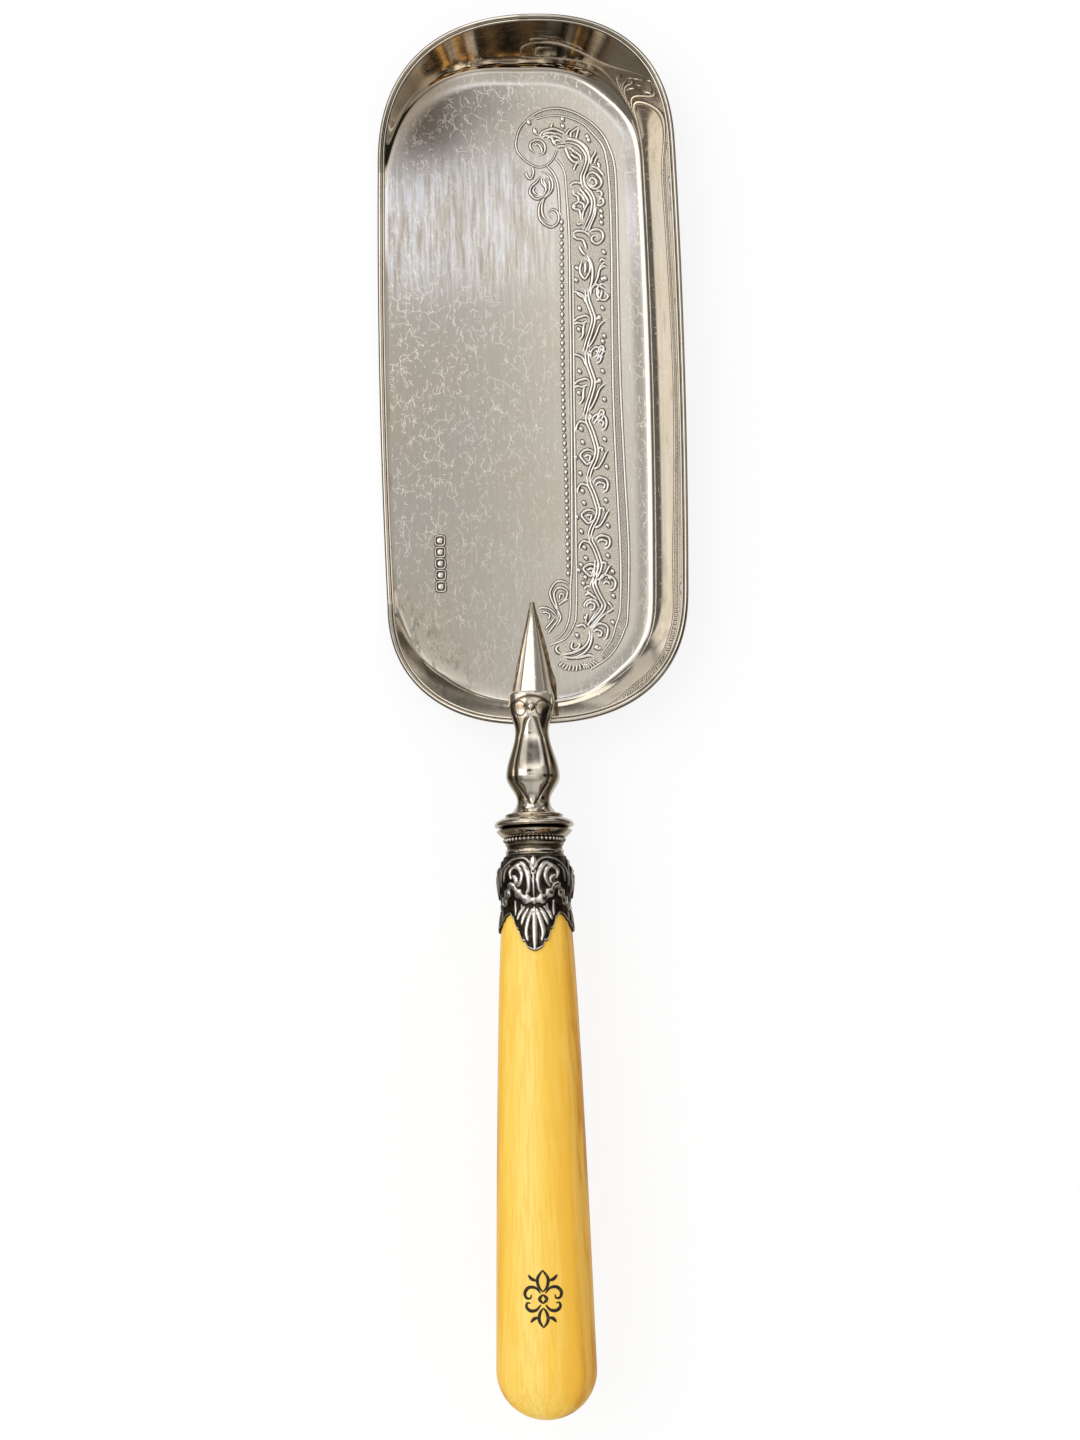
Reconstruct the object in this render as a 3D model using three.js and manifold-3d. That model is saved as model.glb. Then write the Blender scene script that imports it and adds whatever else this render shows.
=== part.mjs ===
// Silver crumb catcher: a flat-bottomed pan with one open lip, a raised gallery
// round its other three sides, a soldered spur and faceted shank, a die-struck
// leaf ferrule and an ivory-coloured handle. Millimetres, +Z up.
// The pan's far end points to +Y, the handle to -Y and the high side wall to +X.
import * as THREE from 'three';
import { mergeVertices } from 'three/addons/utils/BufferGeometryUtils.js';
import Module from 'manifold-3d';

const wasm = await Module();
wasm.setup();

// Pan, seen from above. A corner is a quarter of a superellipse: its depth is
// measured along the pan and its fullness is the exponent, where 2 is an ellipse.
const panLength = 167.4;
const panWidth = 72.6;
const panBowRatio = 0.053;
const farCornerDepth = 33;
const farCornerFullness = 2.5;
const nearCornerDepth = 30.4;
const nearRightFullness = 2.46;
const nearLeftFullness = 2.33;

// Pan wall: its height, and how far it leans out between floor and rim.
const sheet = 1.0;
const wallHeight = 14;
const runFar = 8.9;
const runFarRight = 10.1;
const runSide = 7.85;
const runNearRight = 8.25;
const runNear = 5.5;
const runNearLeft = 5.9;
const lipStrip = 1.7;
const bendLead = 0.8;
const farRisePower = 0.89;
const nearRisePower = 0.76;

// Rim wires, soldered along the top of the wall and along the open lip.
const wireWidth = 1.7;
const wireHeight = 1.2;
const wireInside = 0.25;
const solderGap = 0.08;
const wireJoint = 0.15;

// Line of the handle: its side offset, its height over the near rim, its tilt.
const axisOffset = -1.3;
const axisOverRim = 2.6;
const handleTilt = THREE.MathUtils.degToRad(3.5);

// Spur, the pointed tongue on the pan's floor.
const spurReach = 30.4;
const spurBaseWidth = 10.3;
const spurFacetWidth = 5.7;
const spurTipHeight = 0.5;
const spurCurvePower = 1.15;

// Shank: knuckle over the rim, upper neck, faceted baluster, lower neck.
const knuckleReach = 7.2;
const knuckleWidth = 10.3;
const knuckleHeight = 8.0;
const kneeLead = 4;
const upperNeckAt = 1.9;
const upperNeckWidth = 7.7;
const bulgeAt = 12.3;
const bulgeWidth = 12.2;
const lowerNeckAt = 17.9;
const lowerNeckWidth = 7.5;
const shankLength = 20.7;
const shankFootWidth = 10.4;
const shankSeat = 0.3;
const squareRatio = 2.6;

// Raised panel on the shank's front and back: an arch that opens below the
// knuckle and closes at the lower neck, with a lozenge on the knuckle above it.
const archAt = -1.3;
const archLength = 5;
const panelEndAt = 19;
const panelEndLength = 4.5;
const panelRatio = 0.62;
const lozengeAt = -3.4;
const lozengeLength = 3.2;
const lozengeRatio = 0.22;
const panelRise = 0.12;
const quirkDepth = 0.16;
const quirkRatio = 0.08;

// Turned collar, cap and bead ring between the shank and the ferrule.
const turnedGap = 0.1;
const collarThickness = 3.4;
const collarDiameter = 18;
const capLength = 6.0;
const capEdge = 0.3;
const grooveLip = 0.25;
const neckRing = 0.3;
const capDiameter = 17.2;
const capNeckDiameter = 12.6;
const beadCount = 42;
const beadDiameter = 0.92;
const beadWireRatio = 0.22;
const beadRingDiameter = 13.3;
const beadRingAt = 2.6;

// Ferrule, one thin struck shell. Lengths are measured along the handle's line.
const ferruleWall = 0.55;
const ferruleBellyDiameter = 17.2;
const ferruleBellyAt = 5.4;
const ferruleWaistDiameter = 15.5;
const ferruleWaistAt = 13.0;
const ferruleNotchAt = 13.6;
const frontLeafReach = 8.4;
const sideLeafReach = 3.9;
const reliefHeight = 0.5;
const reliefLine = 0.6;
const scallopDepth = 0.3;

// Handle and what is inside it.
const handleEnd = 155.3;
const handleInsert = 3.4;
const handleNeckWidth = 15.0;
const handleWidth = 22.3;
const handleFlatRatio = 0.8;
const handleDome = 10.8;
const handleSwellPower = 0.58;
const leafClearance = 0.12;
const boreDiameter = 6.2;
const boreDepth = 66;
const tangDiameter = 4.2;
const tangGap = 0.15;
const tangInShank = 9;
const tangPoint = 5;
const cementGap = 0.45;

// Facet counts.
const cornerSteps = 14;
const sideSteps = 8;
const wallSteps = 7;
const shankRows = 40;
const turnSteps = 36;
const handleSides = 32;
const ferruleSides = 96;
const ferruleRows = 18;

const silver = { color: 0xb9b3a8, roughness: 0.28, metalness: 1.0 };
const darkSilver = { color: 0x8d867b, roughness: 0.38, metalness: 1.0 };
const ivory = { color: 0xe3b24f, roughness: 0.36, metalness: 0.0 };
const steel = { color: 0x77797c, roughness: 0.45, metalness: 0.9 };
const cement = { color: 0x3b2c22, roughness: 0.85, metalness: 0.0 };

const halfTurn = Math.PI;
const quarterTurn = Math.PI / 2;
const smooth = (value) => THREE.MathUtils.smoothstep(value, 0, 1);
const mix = THREE.MathUtils.lerp;

// Stations along the handle's line, worked out from the lengths above.
const collarAt = shankLength + turnedGap;
const capAt = collarAt + collarThickness + turnedGap;
const ferruleAt = capAt + capLength + turnedGap;
const notchAt = ferruleAt + ferruleNotchAt;
const waistAt = ferruleAt + ferruleWaistAt;
const handleAt = waistAt - handleInsert;
const axisHeight = wallHeight + axisOverRim;

// Builds one closed body from rings of points. Open rows get a fan at each end,
// and a closed row joins its last ring to its first.
function loft(rings, closed = false) {
  const count = rings[0].length;
  const positions = rings.flat().flatMap((point) => point.toArray());
  const index = [];
  const joins = closed ? rings.length : rings.length - 1;
  for (let row = 0; row < joins; row += 1) {
    const here = row * count;
    const there = ((row + 1) % rings.length) * count;
    for (let i = 0; i < count; i += 1) {
      const next = (i + 1) % count;
      index.push(here + i, here + next, there + next);
      index.push(here + i, there + next, there + i);
    }
  }
  if (!closed) {
    addFan(positions, index, rings[0], 0, true);
    addFan(positions, index, rings[rings.length - 1], (rings.length - 1) * count, false);
  }
  const geometry = new THREE.BufferGeometry();
  geometry.setAttribute('position', new THREE.Float32BufferAttribute(positions, 3));
  geometry.setIndex(index);
  return facingOut(geometry);
}

function addFan(positions, index, ring, first, reversed) {
  const centre = new THREE.Vector3();
  ring.forEach((point) => centre.add(point));
  centre.divideScalar(ring.length);
  const middle = positions.length / 3;
  positions.push(...centre.toArray());
  for (let i = 0; i < ring.length; i += 1) {
    const a = first + i;
    const b = first + ((i + 1) % ring.length);
    index.push(middle, reversed ? b : a, reversed ? a : b);
  }
}

// Turns every face over when the body's signed volume is negative.
function facingOut(geometry) {
  const points = geometry.attributes.position;
  const index = geometry.index.array;
  const [a, b, c] = [new THREE.Vector3(), new THREE.Vector3(), new THREE.Vector3()];
  let volume = 0;
  for (let i = 0; i < index.length; i += 3) {
    a.fromBufferAttribute(points, index[i]);
    b.fromBufferAttribute(points, index[i + 1]);
    c.fromBufferAttribute(points, index[i + 2]);
    volume += a.dot(b.cross(c));
  }
  if (volume < 0) {
    for (let i = 0; i < index.length; i += 3) {
      [index[i], index[i + 1]] = [index[i + 1], index[i]];
    }
  }
  return geometry;
}

// A turned piece: the profile's points are (radius, station) and close on
// themselves, and the axis of turning is the handle's line.
function turned(profile) {
  const points = profile.map(([radius, station]) => new THREE.Vector2(radius, station));
  points.push(points[0].clone());
  const geometry = new THREE.LatheGeometry(points, turnSteps);
  return facingOut(merged(geometry));
}

function merged(geometry) {
  const bare = geometry.clone();
  bare.deleteAttribute('normal');
  bare.deleteAttribute('uv');
  return mergeVertices(bare, 1e-5);
}

function solidOf(geometry) {
  const closed = merged(geometry);
  return new wasm.Manifold(new wasm.Mesh({
    numProp: 3,
    vertProperties: Float32Array.from(closed.attributes.position.array),
    triVerts: Uint32Array.from(closed.index.array),
  }));
}

function geometryOf(solid) {
  const mesh = solid.getMesh();
  const geometry = new THREE.BufferGeometry();
  geometry.setAttribute('position', new THREE.BufferAttribute(mesh.vertProperties, 3));
  geometry.setIndex(new THREE.BufferAttribute(mesh.triVerts, 1));
  return geometry;
}

function part(name, geometry, look) {
  geometry.computeVertexNormals();
  const mesh = new THREE.Mesh(geometry, new THREE.MeshStandardMaterial(look));
  mesh.name = name;
  return mesh;
}

// Pan outline. Each stop holds its place on the rim's outer edge, how much of
// the wall's height it has, and the wall's run from rim to floor there.
function cornerStop(angle, depth, fullness) {
  const across = (panWidth / 2) * Math.cos(angle) ** (2 / fullness);
  const along = depth * Math.sin(angle) ** (2 / fullness);
  return [across, along];
}

function runBetween(share, start, middle, end) {
  const first = mix(start, middle, smooth(share * 2));
  return share < 0.5 ? first : mix(middle, end, smooth(share * 2 - 1));
}

function farRightStops() {
  return cornerShares().map((share) => {
    const [x, y] = cornerStop(share * quarterTurn, farCornerDepth, farCornerFullness);
    const run = runBetween(share, runSide, runFarRight, runFar);
    return { x, y: panLength - farCornerDepth + y, rise: 1, run };
  });
}

function farLeftStops() {
  return cornerShares().map((share) => {
    const [x, y] = cornerStop((1 - share) * quarterTurn, farCornerDepth, farCornerFullness);
    const rise = (1 - share) ** farRisePower;
    return { x: -x, y: panLength - farCornerDepth + y, rise, run: mix(lipStrip, runFar, rise) };
  });
}

function nearLeftStops() {
  return cornerShares().map((share) => {
    const [x, y] = cornerStop(share * quarterTurn, nearCornerDepth, nearLeftFullness);
    const rise = share ** nearRisePower;
    const early = mix(lipStrip, runNearLeft, Math.min(1, (share * 2) ** nearRisePower));
    const run = share < 0.5 ? early : mix(runNearLeft, runNear, smooth(share * 2 - 1));
    return { x: -x, y: nearCornerDepth - y, rise, run };
  });
}

function nearRightStops() {
  return cornerShares().map((share) => {
    const [x, y] = cornerStop((1 - share) * quarterTurn, nearCornerDepth, nearRightFullness);
    const run = runBetween(share, runNear, runNearRight, runSide);
    return { x, y: nearCornerDepth - y, rise: 1, run };
  });
}

function cornerShares() {
  return Array.from({ length: cornerSteps }, (_, i) => i / cornerSteps);
}

function straightStops(sign, fromY, toY, rise, run) {
  return Array.from({ length: sideSteps }, (_, i) => (
    { x: (sign * panWidth) / 2, y: mix(fromY, toY, i / sideSteps), rise, run }
  ));
}

function panOutline() {
  const farY = panLength - farCornerDepth;
  const stops = [
    ...farRightStops(),
    ...farLeftStops(),
    ...straightStops(-1, farY, nearCornerDepth, 0, lipStrip),
    ...nearLeftStops(),
    ...nearRightStops(),
    ...straightStops(1, nearCornerDepth, farY, 1, runSide),
  ];
  const middle = panLength / 2;
  stops.forEach((stop) => {
    stop.x *= 1 - panBowRatio * ((stop.y - middle) / middle) ** 2;
  });
  stops.forEach((stop, i) => {
    const before = stops[(i + stops.length - 1) % stops.length];
    const after = stops[(i + 1) % stops.length];
    stop.out = new THREE.Vector2(after.y - before.y, before.x - after.x).normalize();
  });
  return stops;
}

const outline = panOutline();

// Wall section between floor and rim, as shares of the wall's run and height.
const wallCurve = new THREE.CubicBezierCurve(
  new THREE.Vector2(0, 0),
  new THREE.Vector2(0.25, 0.04),
  new THREE.Vector2(0.45, 0.35),
  new THREE.Vector2(1, 1),
);

// One point of the wall at a stop. depth is how far it lies outside the inner
// face, square to it: 0 on the inner face and the sheet's thickness outside.
// Towards the rim it turns level, so that the sheet's edge is flat for the wire.
function wallPoint(stop, share, depth) {
  const rim = wireWidth - wireInside;
  const run = stop.run + bendLead - rim;
  const height = (wallHeight - sheet) * stop.rise;
  const place = wallCurve.getPoint(share);
  const slope = wallCurve.getTangent(share);
  const lean = mix(Math.atan2(slope.y * height, slope.x * run), quarterTurn, share ** 3);
  const across = (place.x - 1) * run - rim + Math.sin(lean) * depth;
  const up = sheet + place.y * height - Math.cos(lean) * depth;
  return new THREE.Vector3(stop.x + stop.out.x * across, stop.y + stop.out.y * across, up);
}

function wallRing(share, depth) {
  return outline.map((stop) => wallPoint(stop, share, depth));
}

function panGeometry(grow = 0) {
  const rings = [];
  for (let row = 0; row <= wallSteps; row += 1) {
    rings.push(wallRing(row / wallSteps, sheet + grow));
  }
  for (let row = wallSteps; row >= 0; row -= 1) {
    rings.push(wallRing(row / wallSteps, -grow));
  }
  return loft(rings);
}

// The space inside the pan, carried up past the rim. It trims the spur's foot.
function panHollow(gap) {
  const rings = [];
  for (let row = 0; row <= wallSteps; row += 1) {
    rings.push(wallRing(row / wallSteps, -gap));
  }
  const lid = rings[wallSteps].map((point) => new THREE.Vector3(point.x, point.y, axisHeight * 2));
  rings.push(lid);
  return loft(rings);
}

// Section of a rim wire at a stop, a round-topped bar seated on the sheet's edge.
function wireSection(stop, grow = 0) {
  const seat = wallPoint(stop, 1, 0);
  const out = new THREE.Vector3(stop.out.x, stop.out.y, 0);
  const corners = [[0, 0], [1, 0], [1, 0.55], [0.8, 0.9], [0.5, 1], [0.2, 0.9], [0, 0.55]];
  return corners.map(([a, b]) => {
    const across = a * wireWidth - wireInside + Math.sign(a - 0.5) * grow;
    const point = seat.clone().addScaledVector(out, across);
    point.z += solderGap + b * wireHeight + (b > 0 ? grow : 0);
    return point;
  });
}

function lipSpan() {
  const first = cornerSteps * 2;
  return { first, last: first + sideSteps };
}

function wireBetween(first, last, grow = 0) {
  const rings = [];
  for (let i = first; i <= last; i += 1) {
    rings.push(wireSection(outline[i % outline.length], grow));
  }
  shorten(rings[0], rings[1]);
  shorten(rings[rings.length - 1], rings[rings.length - 2]);
  return loft(rings);
}

// Draws an end section back along the wire by half of the joint's gap.
function shorten(end, before) {
  end.forEach((point, i) => {
    const step = before[i].clone().sub(point);
    point.addScaledVector(step, wireJoint / 2 / step.length());
  });
}

function galleryWire(grow = 0) {
  const { first, last } = lipSpan();
  return wireBetween(last, first + outline.length, grow);
}

function lipWire() {
  const { first, last } = lipSpan();
  return wireBetween(first, last);
}

// Spur: a five-sided wedge, flat-topped, drawn down to a point on the floor.
function spurSection(y) {
  const share = (spurReach - y) / (spurReach - knuckleReach);
  const width = spurBaseWidth * Math.min(1, share);
  const facet = spurFacetWidth * Math.min(1, share);
  const knuckleFoot = axisHeight - knuckleHeight / 2 - shankSeat - knuckleReach * Math.tan(handleTilt);
  const top = mix(sheet + spurTipHeight, knuckleFoot, Math.min(1, share) ** spurCurvePower);
  const half = [[-width / 2, 0], [-facet / 2, top], [facet / 2, top], [width / 2, 0]];
  return half.map(([x, z]) => new THREE.Vector3(axisOffset + x, y, z));
}

function spurGeometry() {
  const rows = 10;
  const tipShare = 0.985;
  const stations = Array.from({ length: rows + 1 }, (_, i) => (
    mix(knuckleReach, spurReach, (i / rows) * tipShare)
  ));
  const rings = [0, ...stations].map(spurSection);
  return geometryOf(solidOf(loft(rings)).intersect(solidOf(panHollow(solderGap))));
}

// Frame of the handle's line: its own +Y runs down the handle, its +Z is up.
const handleFrame = new THREE.Group();
handleFrame.position.set(axisOffset, 0, axisHeight);
handleFrame.rotation.set(-handleTilt, 0, halfTurn);
handleFrame.updateMatrix();

// Shank section: a squared round with a raised panel on its front and back.
// front is the half width of the panel, as a share of the section's.
function shankSection(at, squareness, front) {
  const width = shankWidth(at) / 2;
  const height = shankWidth(at, knuckleHeight) / 2;
  const raised = Math.min(1, front / (2 * quirkRatio));
  const quarter = [
    [1, 0],
    [0.99, 0],
    [0.94, 0],
    [0.84, 0],
    [front + quirkRatio, -quirkDepth * raised],
    [front, panelRise * raised],
    [front / 2, panelRise * raised],
  ];
  const place = ([across, lift]) => {
    const up = (1 - across ** squareness) ** (1 / squareness);
    return [across * width, up * height + lift];
  };
  const right = quarter.map(place);
  const left = right.map(([x, z]) => [-x, z]).reverse();
  const upper = [...right, place([0, panelRise * raised]), ...left];
  const lower = upper.slice(1, -1).map(([x, z]) => [x, -z]).reverse();
  return [...upper, ...lower].map(([x, z]) => new THREE.Vector3(x, at, z));
}

// Half width of the raised panel at a station, as a share of the section's.
function panelShare(at) {
  const opened = Math.sqrt(THREE.MathUtils.clamp((at - archAt) / archLength, 0, 1));
  const closed = Math.sqrt(THREE.MathUtils.clamp((panelEndAt - at) / panelEndLength, 0, 1));
  const lozenge = 1 - Math.abs(at - lozengeAt) / (lozengeLength / 2);
  return Math.max(panelRatio * opened * closed, lozengeRatio * lozenge, quirkRatio / 8);
}

// Width of the shank at a station, through its knuckle, necks and bulge.
function shankWidth(at, kneeSize = knuckleWidth) {
  if (at < upperNeckAt) {
    return mix(upperNeckWidth, kneeSize, smooth((upperNeckAt - at) / (upperNeckAt + kneeLead)));
  }
  if (at < bulgeAt) {
    return mix(upperNeckWidth, bulgeWidth, smooth((at - upperNeckAt) / (bulgeAt - upperNeckAt)));
  }
  if (at < lowerNeckAt) {
    return mix(lowerNeckWidth, bulgeWidth, smooth((lowerNeckAt - at) / (lowerNeckAt - bulgeAt)));
  }
  const flare = ((at - lowerNeckAt) / (shankLength - lowerNeckAt)) ** 2;
  return mix(lowerNeckWidth, shankFootWidth, flare);
}

function shankGeometry() {
  const rings = [];
  for (let i = 0; i <= shankRows; i += 1) {
    const at = mix(-knuckleReach, shankLength, i / shankRows);
    const roundness = smooth((at - bulgeAt) / (lowerNeckAt - bulgeAt));
    rings.push(shankSection(at, mix(squareRatio, 2, roundness), panelShare(at)));
  }
  const toLine = handleFrame.matrix.clone().invert();
  const seat = panGeometry(shankSeat).applyMatrix4(toLine);
  const wireSeat = galleryWire(shankSeat).applyMatrix4(toLine);
  const bore = rodGeometry(tangDiameter / 2 + tangGap, shankLength - tangInShank, shankLength + 1);
  const cut = solidOf(loft(rings)).subtract(solidOf(seat)).subtract(solidOf(wireSeat));
  return geometryOf(cut.subtract(solidOf(bore)));
}

function rodGeometry(radius, from, to) {
  const sides = 16;
  const rod = new THREE.CylinderGeometry(radius, radius, to - from, sides);
  return rod.translate(0, (from + to) / 2, 0);
}

// Round bore through the turned pieces, in which the tang passes.
const turnedBore = tangDiameter / 2 + tangGap;

function collarGeometry() {
  const edge = collarDiameter / 2;
  const foot = shankFootWidth / 2;
  const share = (radius, along) => [mix(foot, edge, radius), collarAt + along * collarThickness];
  return turned([
    [turnedBore, collarAt],
    share(0, 0),
    share(0.22, 0.02),
    share(0.36, 0.12),
    share(0.42, 0.24),
    share(0.62, 0.36),
    share(0.88, 0.58),
    share(1, 0.8),
    share(0.99, 0.93),
    share(0.9, 1),
    [turnedBore, collarAt + collarThickness],
  ]);
}

// Cap: a flared rim, a groove that holds the bead ring, and a ringed neck.
function capGeometry() {
  const rim = capDiameter / 2;
  const neck = capNeckDiameter / 2;
  const half = beadDiameter / 2 + turnedGap;
  const groove = beadRingDiameter / 2 - half;
  return turned([
    [turnedBore, capAt],
    [rim - capEdge, capAt],
    [rim, capAt + capEdge],
    [mix(rim, beadRingDiameter / 2, 0.35), capAt + 0.5 * beadRingAt],
    [beadRingDiameter / 2 + grooveLip, capAt + beadRingAt - half],
    [groove, capAt + beadRingAt - half],
    [groove, capAt + beadRingAt + half],
    [neck + grooveLip, capAt + beadRingAt + half],
    [neck, mix(capAt + beadRingAt + half, capAt + capLength, 0.35)],
    [neck, mix(capAt + beadRingAt + half, capAt + capLength, 0.6)],
    [neck + neckRing, mix(capAt + beadRingAt + half, capAt + capLength, 0.72)],
    [neck + neckRing, capAt + capLength],
    [turnedBore, capAt + capLength],
  ]);
}

// Bead ring: round beads strung on a thin wire, in the cap's groove.
function beadRingGeometry() {
  const station = capAt + beadRingAt;
  const radius = beadRingDiameter / 2;
  const wire = beadDiameter * beadWireRatio;
  let ring = solidOf(turned([
    [radius - wire, station - wire],
    [radius + wire, station - wire],
    [radius + wire, station + wire],
    [radius - wire, station + wire],
  ]));
  for (let i = 0; i < beadCount; i += 1) {
    const angle = (i * 2 * halfTurn) / beadCount;
    const bead = new THREE.IcosahedronGeometry(beadDiameter / 2, 0);
    bead.translate(radius * Math.cos(angle), station, radius * Math.sin(angle));
    ring = ring.add(solidOf(bead));
  }
  return geometryOf(ring);
}

// Handle: a flattened round that swells away from the ferrule, with a domed end.
function handleHalfWidth(at) {
  const start = handleNeckWidth / 2;
  const end = handleWidth / 2;
  const domeAt = handleEnd - handleDome;
  const along = THREE.MathUtils.clamp((at - waistAt) / (domeAt - waistAt), 0, 1);
  const swollen = mix(start, end, along ** handleSwellPower);
  const past = THREE.MathUtils.clamp((at - domeAt) / handleDome, 0, 1);
  return swollen * Math.sqrt(1 - past * past);
}

function handleRatio(at) {
  return mix(1, handleFlatRatio, smooth((at - waistAt) / ((handleEnd - waistAt) * 0.6)));
}

// Distance of the handle's surface from its line, at an angle from the top.
function handleRadius(at, angle) {
  const wide = handleHalfWidth(at);
  const high = wide * handleRatio(at);
  return (wide * high) / Math.hypot(high * Math.sin(angle), wide * Math.cos(angle));
}

function roundRing(at, sides, radiusAt) {
  return Array.from({ length: sides }, (_, i) => {
    const angle = (i * 2 * halfTurn) / sides;
    const radius = radiusAt(angle);
    return new THREE.Vector3(radius * Math.sin(angle), at, radius * Math.cos(angle));
  });
}

function handleGeometry() {
  const bore = boreDiameter / 2;
  const rings = [
    roundRing(handleAt + boreDepth, handleSides, () => bore),
    roundRing(handleAt, handleSides, () => bore),
  ];
  const bodyRows = 12;
  const domeRows = 7;
  const domeAt = handleEnd - handleDome;
  rings.push(roundRing(handleAt, handleSides, (angle) => handleRadius(handleAt, angle)));
  for (let i = 0; i <= bodyRows; i += 1) {
    const at = mix(waistAt, domeAt, (i / bodyRows) ** 1.4);
    rings.push(roundRing(at, handleSides, (angle) => handleRadius(at, angle)));
  }
  for (let i = 1; i < domeRows; i += 1) {
    const at = domeAt + handleDome * Math.sin((i / domeRows) * quarterTurn);
    rings.push(roundRing(at, handleSides, (angle) => handleRadius(at, angle)));
  }
  return loft(rings);
}

// Ferrule body without its relief: neck, belly and waist, then along the handle.
function ferruleBase(at, angle) {
  const along = at - ferruleAt;
  const neck = capNeckDiameter / 2 + neckRing;
  const belly = ferruleBellyDiameter / 2;
  const waist = ferruleWaistDiameter / 2;
  if (along < ferruleBellyAt) {
    return mix(neck, belly, Math.sin((along / ferruleBellyAt) * quarterTurn) ** 0.8);
  }
  if (at < waistAt) {
    return mix(belly, waist, smooth((along - ferruleBellyAt) / (ferruleWaistAt - ferruleBellyAt)));
  }
  return waist + handleRadius(at, angle) - handleRadius(waistAt, angle);
}

// How far the shell reaches down at an angle: long leaves on the front and back
// faces, short ones on the sides, notches between, and scallops on the leaves.
function ferruleEdge(angle) {
  const fromFace = Math.abs(Math.asin(Math.sin(angle)));
  const facing = fromFace < quarterTurn / 2;
  const reach = facing ? frontLeafReach : sideLeafReach;
  const off = facing ? fromFace : quarterTurn - fromFace;
  const leaf = (1 + Math.cos((off / (quarterTurn / 2)) * halfTurn)) / 2;
  const scallop = facing ? scallopDepth * Math.cos((off / (quarterTurn / 2)) * 4 * 2 * halfTurn) : 0;
  return notchAt + reach * leaf ** 0.85 + scallop * Math.sin(leaf * halfTurn);
}

// Raised lines of the relief on one face, mirrored. Points are degrees from the
// face's middle and stations as shares of the length from the ferrule's top to
// its waist. wide is in line widths and high in relief heights.
const strokes = [
  { path: [[0, 0.22], [0, 0.71]], wide: 0.75, high: 0.6 },
  { path: [[0, 0.05], [0, 0.16]], wide: 1.5, high: 0.9 },
  {
    path: [[11, 0.53], [10, 0.32], [18, 0.16], [38, 0.08], [58, 0.12], [70, 0.25], [67, 0.51]],
    wide: 1,
    high: 0.75,
  },
  {
    path: [[37, 0.46], [47, 0.32], [42, 0.22], [31, 0.22], [22, 0.3], [20, 0.43], [15, 0.55]],
    wide: 1,
    high: 0.85,
  },
  { path: [[37, 0.52], [27, 0.68], [14, 0.81], [0, 0.84]], wide: 1.6, high: 1.2 },
  { path: [[39, 0.52], [52, 0.69], [68, 0.81], [90, 0.84]], wide: 1.5, high: 1.1 },
  { path: [[0, 0.97], [0, 1.62]], wide: 1, high: 0.8 },
  { path: [[9, 0.97], [14.5, 1.51]], wide: 1, high: 0.7 },
  { path: [[19, 0.95], [26.5, 1.28]], wide: 1, high: 0.7 },
  { path: [[31, 0.92], [37, 1.12]], wide: 1, high: 0.6 },
  { path: [[90, 0.97], [90, 1.31]], wide: 1, high: 0.7 },
  { path: [[72, 0.97], [74, 1.2]], wide: 1, high: 0.6 },
  { path: [[56, 0.92], [58, 1.11]], wide: 1, high: 0.6 },
];

function reliefAt(angle, at) {
  const degrees = THREE.MathUtils.radToDeg(Math.abs(Math.asin(Math.sin(angle))));
  const station = at - ferruleAt;
  const perDegree = (ferruleBellyDiameter / 2) * THREE.MathUtils.degToRad(1);
  let height = 0;
  strokes.forEach(({ path, wide, high }) => {
    const off = distanceToPath(path, degrees, station, perDegree) / (wide * reliefLine);
    if (off < 1) {
      height = Math.max(height, high * Math.sqrt(1 - off * off));
    }
  });
  return height * reliefHeight;
}

function distanceToPath(path, degrees, station, perDegree) {
  let least = Infinity;
  for (let i = 1; i < path.length; i += 1) {
    const from = new THREE.Vector3(path[i - 1][0] * perDegree, path[i - 1][1] * ferruleWaistAt, 0);
    const to = new THREE.Vector3(path[i][0] * perDegree, path[i][1] * ferruleWaistAt, 0);
    const here = new THREE.Vector3(degrees * perDegree, station, 0);
    const near = new THREE.Line3(from, to).closestPointToPoint(here, true, new THREE.Vector3());
    least = Math.min(least, near.distanceTo(here));
  }
  return least;
}

function ferruleGeometry() {
  const rings = [];
  const innerRows = 7;
  for (let i = 0; i < ferruleSides; i += 1) {
    const angle = (i * 2 * halfTurn) / ferruleSides;
    const edge = ferruleEdge(angle);
    const ring = [];
    for (let row = 0; row <= ferruleRows; row += 1) {
      const at = mix(ferruleAt, edge, row / ferruleRows);
      ring.push(shellPoint(at, angle, ferruleBase(at, angle) + reliefAt(angle, at)));
    }
    for (let row = innerRows; row >= 0; row -= 1) {
      const at = mix(ferruleAt, edge, row / innerRows);
      ring.push(shellPoint(at, angle, ferruleInner(at, angle)));
    }
    rings.push(ring);
  }
  return loft(rings, true);
}

function ferruleInner(at, angle) {
  const shell = ferruleBase(at, angle) - ferruleWall;
  return at < handleAt ? shell : Math.max(shell, handleRadius(at, angle) + leafClearance);
}

function shellPoint(at, angle, radius) {
  return new THREE.Vector3(radius * Math.sin(angle), at, radius * Math.cos(angle));
}

// Cement: fills the ferrule above the handle and the bore round the tang.
function cementGeometry() {
  const top = ferruleAt + turnedGap;
  const bottom = handleAt - turnedGap;
  const outside = [0, 0.2, 0.4, 0.6, 0.8, 1].map((share) => {
    const at = mix(top, bottom, share);
    return [ferruleInner(at, 0) - cementGap, at];
  });
  const sleeve = boreDiameter / 2 - turnedGap;
  const sleeveEnd = handleAt + boreDepth - 2 * turnedGap;
  const inside = tangDiameter / 2 + tangGap;
  return turned([
    [inside, top],
    ...outside,
    [sleeve, bottom],
    [sleeve, sleeveEnd],
    [inside, sleeveEnd],
  ]);
}

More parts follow.
